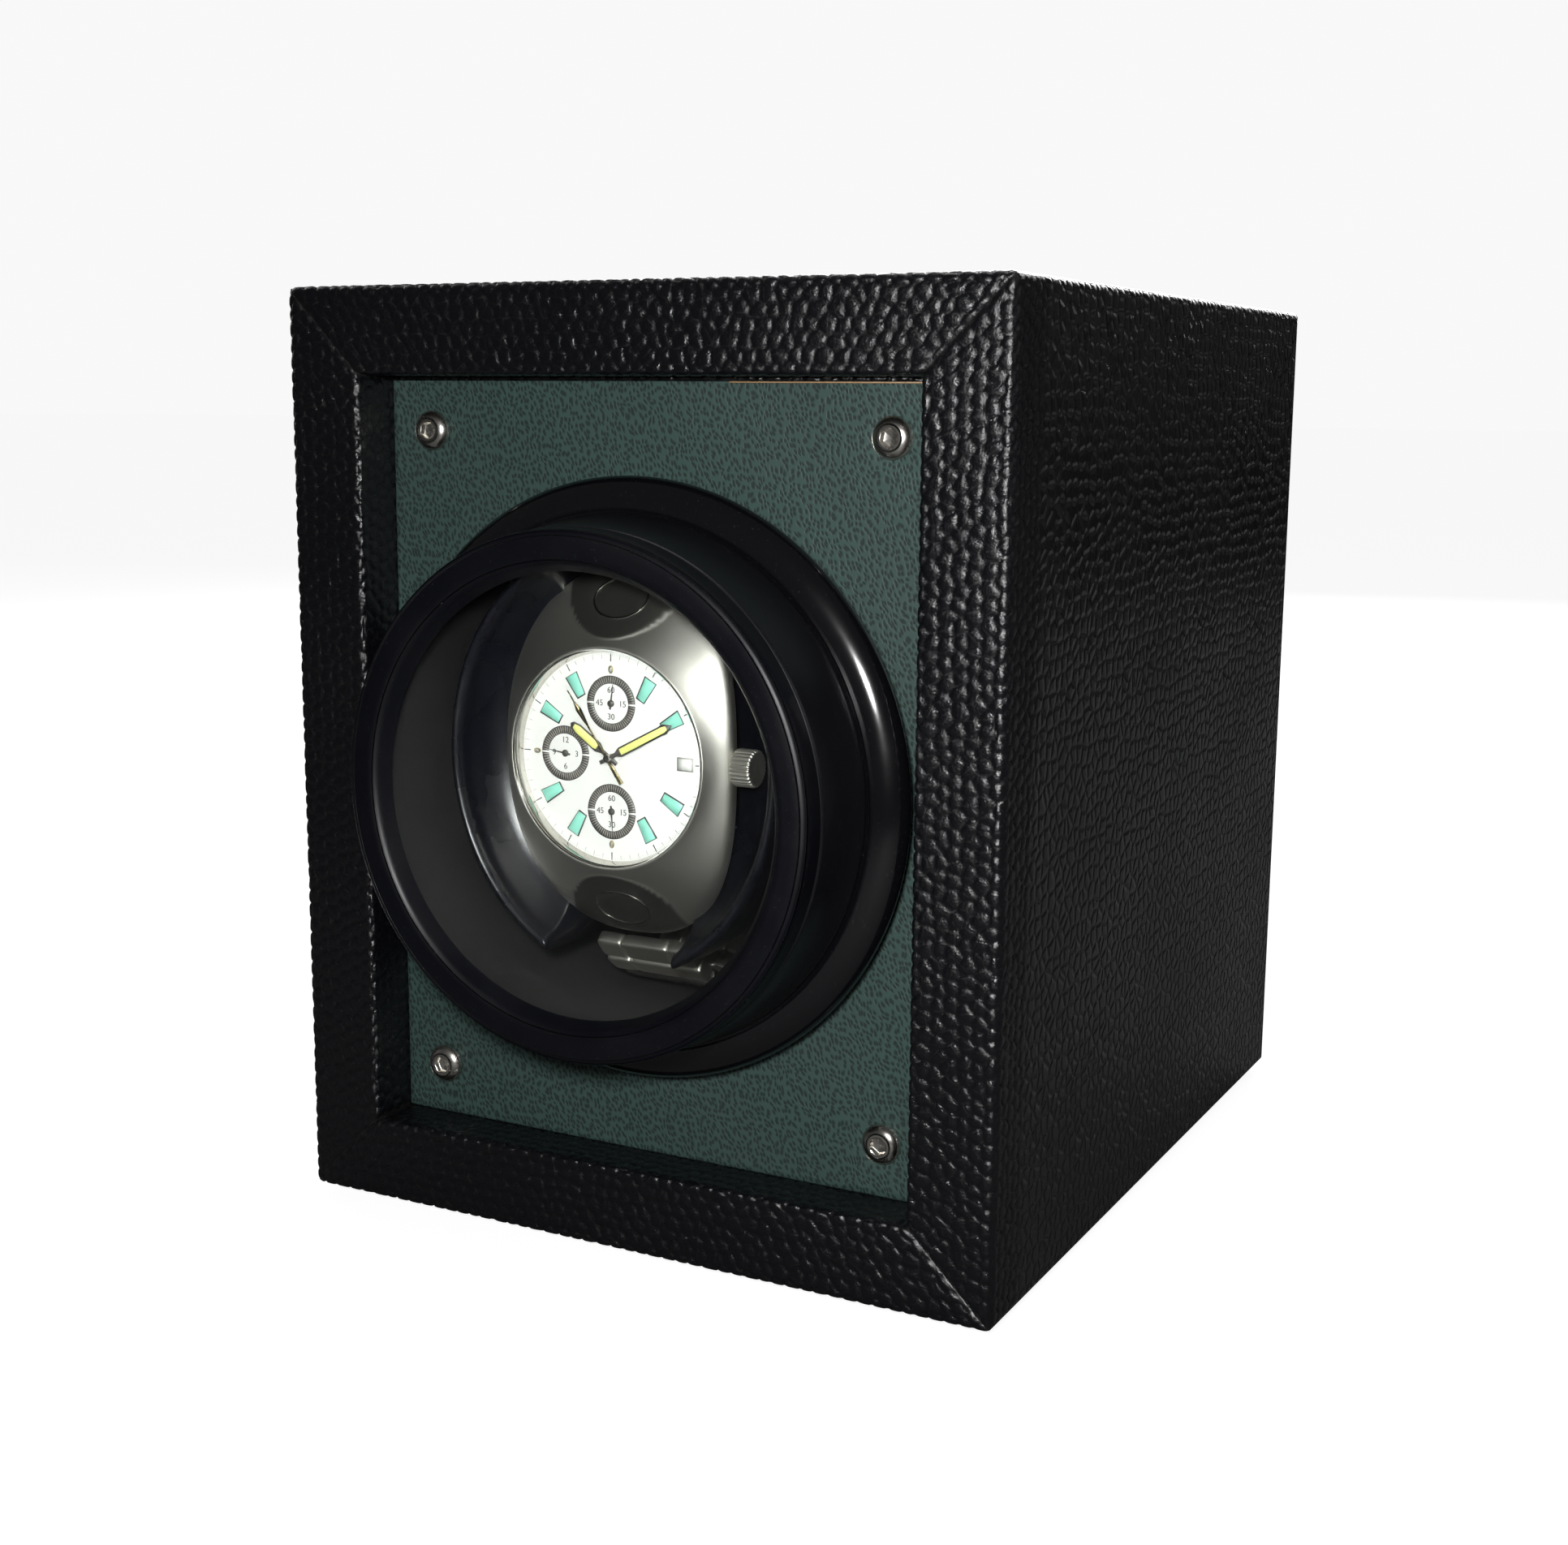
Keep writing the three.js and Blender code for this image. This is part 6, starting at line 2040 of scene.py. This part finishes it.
@dataclass
class Cells:
    """Two dry cells, each with a crimped sleeve, bare metal ends and a contact nub."""

    radius: float = 16.45
    nub: float = 4.6
    nub_height: float = 1.5
    crimp: float = 0.3
    sleeve_edge: float = 1.4

    def profile(self, length: float) -> Array:
        """Section of a cell as (radius, distance from the nub's tip).

        Args:
            length: The cell's whole length in millimetres.

        Returns:
            (n, 2) points in millimetres.
        """
        radius, nub, rise, waist = self.radius, self.nub, self.nub_height, self.radius - self.crimp
        outline = rounded(
            [(0.05, 0), (nub, 0), (nub, rise), (radius, rise), (radius, rise + 2.4), (waist, rise + 2.9),
             (radius, rise + 3.4), (radius, length - 3), (waist, length - 2.5), (radius, length - 2),
             (radius, length), (0.05, length)],
            [0, 0.6, 0.2, 0.9] + [0.2] * 6 + [0.9, 0], 6,
        )
        return resample(outline, 1.5)

    def build(self) -> None:
        """Carries each section round the cell's own axis, which runs across the case. The nub is
        at the end where the CAD cell is narrow."""
        for name in ("battery_cell_lower", "battery_cell_upper"):
            low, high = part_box(name)
            y, z = (low.y + high.y) / 2, (low.z + high.z) / 2
            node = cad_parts[name]
            world = np.array(node.matrix_world)
            spots = vectors_of(node.data.vertices, "co") @ world[:3, :3].T + world[:3, 3]
            end = spots[spots[:, 0] > high.x - 1e-5]
            narrow = np.hypot(end[:, 1] - y, end[:, 2] - z).max() < self.radius * 0.6 * MM
            tip, toward = (high.x, -1) if narrow else (low.x, 1)
            rows = self.profile((high.x - low.x) / MM)
            angle = full_turn(120)[None, :]
            grid = np.stack([
                tip + toward * (rows[:, 1:] + 0 * angle) * MM,
                y + rows[:, :1] * np.cos(angle) * MM,
                z + rows[:, :1] * np.sin(angle) * MM,
            ], -1)
            cell = loft(f"{name}_turned", grid)
            dress(cell, "case", CELL_SLEEVE, [name])
            bare = (self.radius - self.sleeve_edge) * MM
            dress_faces(cell, lambda at: np.hypot(at[:, 1] - y, at[:, 2] - z) < bare, STAINLESS)


@dataclass
class InnerWorks:
    """Finishes of the parts that keep their own CAD shape."""

    finishes: dict = field(default_factory=lambda: {
        "back_panel": LEATHER_BACK,
        **{f"corner_block_{corner}": WOOD for corner in CORNERS},
        "drive_plate": ALUMINIUM, "bearing_housing": ALUMINIUM,
        "bush_front": BRONZE, "bush_rear": BRONZE,
        "gear_motor": STEEL, "motor_screw_left": STAINLESS, "motor_screw_right": STAINLESS,
        "motor_shaft": STAINLESS, "motor_pinion": BRONZE, "spindle": STAINLESS, "spindle_clip": STEEL,
        "drive_gear": NYLON, "battery_tray": TEXTURED_BLACK,
        "battery_spring_lower": STEEL, "battery_spring_upper": STEEL, "battery_contact": STEEL,
        "control_board": CIRCUIT, "selector_switch": STEEL,
    })

    def build(self) -> None:
        """Gives each carried-over node its finish."""
        for name, finish in self.finishes.items():
            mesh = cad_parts[name].data
            mesh.materials.clear()
            mesh.materials.append(finish.material())
            LOG.info("%s keeps its shape, finished in %s", name, finish.name)


# ---- studio


@dataclass(frozen=True)
class Lamp:
    """An area lamp turned from its place towards a point; lengths in metres, power in watts."""

    name: str
    place: Place
    size: tuple[float, float]
    power: float
    aim: Place = (0.0, 0.0, 0.08)

    def build(self) -> None:
        """Puts the lamp into the scene."""
        data = bpy.data.lights.new(self.name, "AREA")
        data.shape = "RECTANGLE"
        data.size, data.size_y = self.size
        data.energy = self.power
        lamp = placed(self.name, data)
        lamp.location = self.place
        toward = Vector(self.aim) - Vector(self.place)
        lamp.rotation_euler = toward.to_track_quat("-Z", "Y").to_euler()


@dataclass
class Studio:
    """Pale floor, soft lamps, a plain world and the camera."""

    datum: Datum
    azimuth: float = 27.7428
    elevation: float = 10.0708
    roll: float = 0.4184
    place: Place = (170.917, -270.776, 135.438)
    focal_length: float = 48.121
    sensor: float = 36.0
    floor_colour: Colour = (0.16, 0.16, 0.16)
    floor_dim: Colour = (0.10, 0.10, 0.10)
    floor_glow: float = 0.92
    floor_reach: float = 12.0
    sky_seen: float = 0.94
    sky_thrown: float = 0.05
    soft_lamps: tuple = (
        Lamp("top_lamp", (0.0, 0.25, 1.0), (0.6, 0.6), 2.6),
        Lamp("left_lamp", (-0.9, 0.3, 0.5), (0.5, 0.6), 1.8),
        Lamp("right_lamp", (0.9, 0.12, 0.5), (0.5, 0.6), 0.5),
        Lamp("rear_lamp", (-0.25, 1.0, 0.5), (0.7, 0.6), 9.0),
    )

    def floor(self) -> None:
        """A wide flat floor just below the feet. Seen from the lens it is pale; what it throws
        back onto the piece is dim, as from a floor lit only near the piece."""
        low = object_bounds()[0][2]
        reach = self.floor_reach
        corners = np.array([(-reach, -reach), (reach, -reach), (reach, reach), (-reach, reach)])
        points = np.column_stack([corners, np.full(4, low)])
        mesh = bpy.data.meshes.new("floor")
        mesh.from_pydata(points.tolist(), [], [(0, 1, 2, 3)])
        floor = placed("floor", mesh)
        made, wire, shader, place = new_material("studio floor")
        tone = wire.mix(wire.noise(place, 1.4), self.floor_colour, tuple(c * 0.985 for c in self.floor_colour))
        seen = wire.node("ShaderNodeLightPath").outputs["Is Camera Ray"]
        wire.feed(shader, {
            "Base Color": wire.mix(seen, self.floor_dim, tone), "Roughness": 0.85, "Specular IOR Level": 0.2,
        })
        glow = wire.node("ShaderNodeEmission", {"Color": (1.0, 1.0, 1.0, 1.0), "Strength": self.floor_glow})
        both = wire.node("ShaderNodeAddShader", {0: shader.outputs[0], 1: glow.outputs[0]})
        blend = wire.node("ShaderNodeMixShader", {0: seen, 1: shader.outputs[0], 2: both.outputs[0]})
        wire.feed(made.node_tree.nodes["Material Output"], {"Surface": blend.outputs[0]})
        mesh.materials.append(made)
        floor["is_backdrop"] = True

    def lamps(self) -> None:
        """A small hard lamp beside the lens. Large soft ones stand behind the case's front plane,
        so that they light its top, sides and back but leave its face to the small one."""
        x, y, z = self.eye()
        beside = (x - 0.03, y + 0.01, z + 0.02)
        Lamp("lens_lamp", beside, (0.030, 0.030), 1.15, (0.0, -0.02, 0.08)).build()
        for lamp in self.soft_lamps:
            lamp.build()

    def world(self) -> None:
        """A plain pale sky, dim where it lights the piece."""
        world = bpy.data.worlds.new("studio")
        world.use_nodes = True
        wire = Wire(world.node_tree)
        seen = wire.node("ShaderNodeLightPath").outputs["Is Camera Ray"]
        strength = wire.span(seen, 0.0, 1.0, self.sky_thrown, self.sky_seen)
        wire.feed(world.node_tree.nodes["Background"], {"Color": (1.0, 1.0, 1.0, 1.0), "Strength": strength})
        bpy.context.scene.world = world

    def eye(self) -> tuple[float, float, float]:
        """The camera's place in the row frame, in metres."""
        x, y, z = self.place
        return x * MM, float(self.datum.depth(y)), self.datum.low + z * MM

    def camera(self) -> None:
        """The camera, from its azimuth, elevation and roll."""
        azimuth, elevation, roll = (math.radians(v) for v in (self.azimuth, self.elevation, self.roll))
        ahead = np.array([-math.sin(azimuth) * math.cos(elevation), math.cos(azimuth) * math.cos(elevation),
                          -math.sin(elevation)])
        level = np.cross(ahead, (0, 0, 1))
        level /= np.linalg.norm(level)
        upright = np.cross(level, ahead)
        right = math.cos(roll) * level + math.sin(roll) * upright
        up = np.cross(right, ahead)
        data = bpy.data.cameras.new("camera")
        data.lens = self.focal_length
        data.sensor_width = self.sensor
        data.sensor_fit = "HORIZONTAL"
        data.clip_start, data.clip_end = 0.01, 20.0
        camera = placed("camera", data)
        basis = np.eye(4)
        basis[:3, 0], basis[:3, 1], basis[:3, 2], basis[:3, 3] = right, up, -ahead, self.eye()
        camera.matrix_world = Matrix(basis.tolist())
        bpy.context.scene.camera = camera

    def build(self) -> None:
        """Sets up the camera, the world, the floor and the lamps."""
        self.camera()
        self.world()
        self.floor()
        self.lamps()
        bpy.context.scene.view_settings.view_transform = "Standard"


def main() -> None:
    """Builds the studio and every sub-assembly in order."""
    logging.basicConfig(level=logging.INFO, format="%(message)s")
    datum = Datum.from_frame()
    Studio(datum).build()
    for assembly in (CaseShell, Feet, Fascia, Rotor, Cuff, WatchCase, WatchFace, Crown, Bracelet, Door,
                     Controls):
        assembly(datum).build()
    Cells().build()
    InnerWorks().build()


if __name__ == "__main__":
    main()
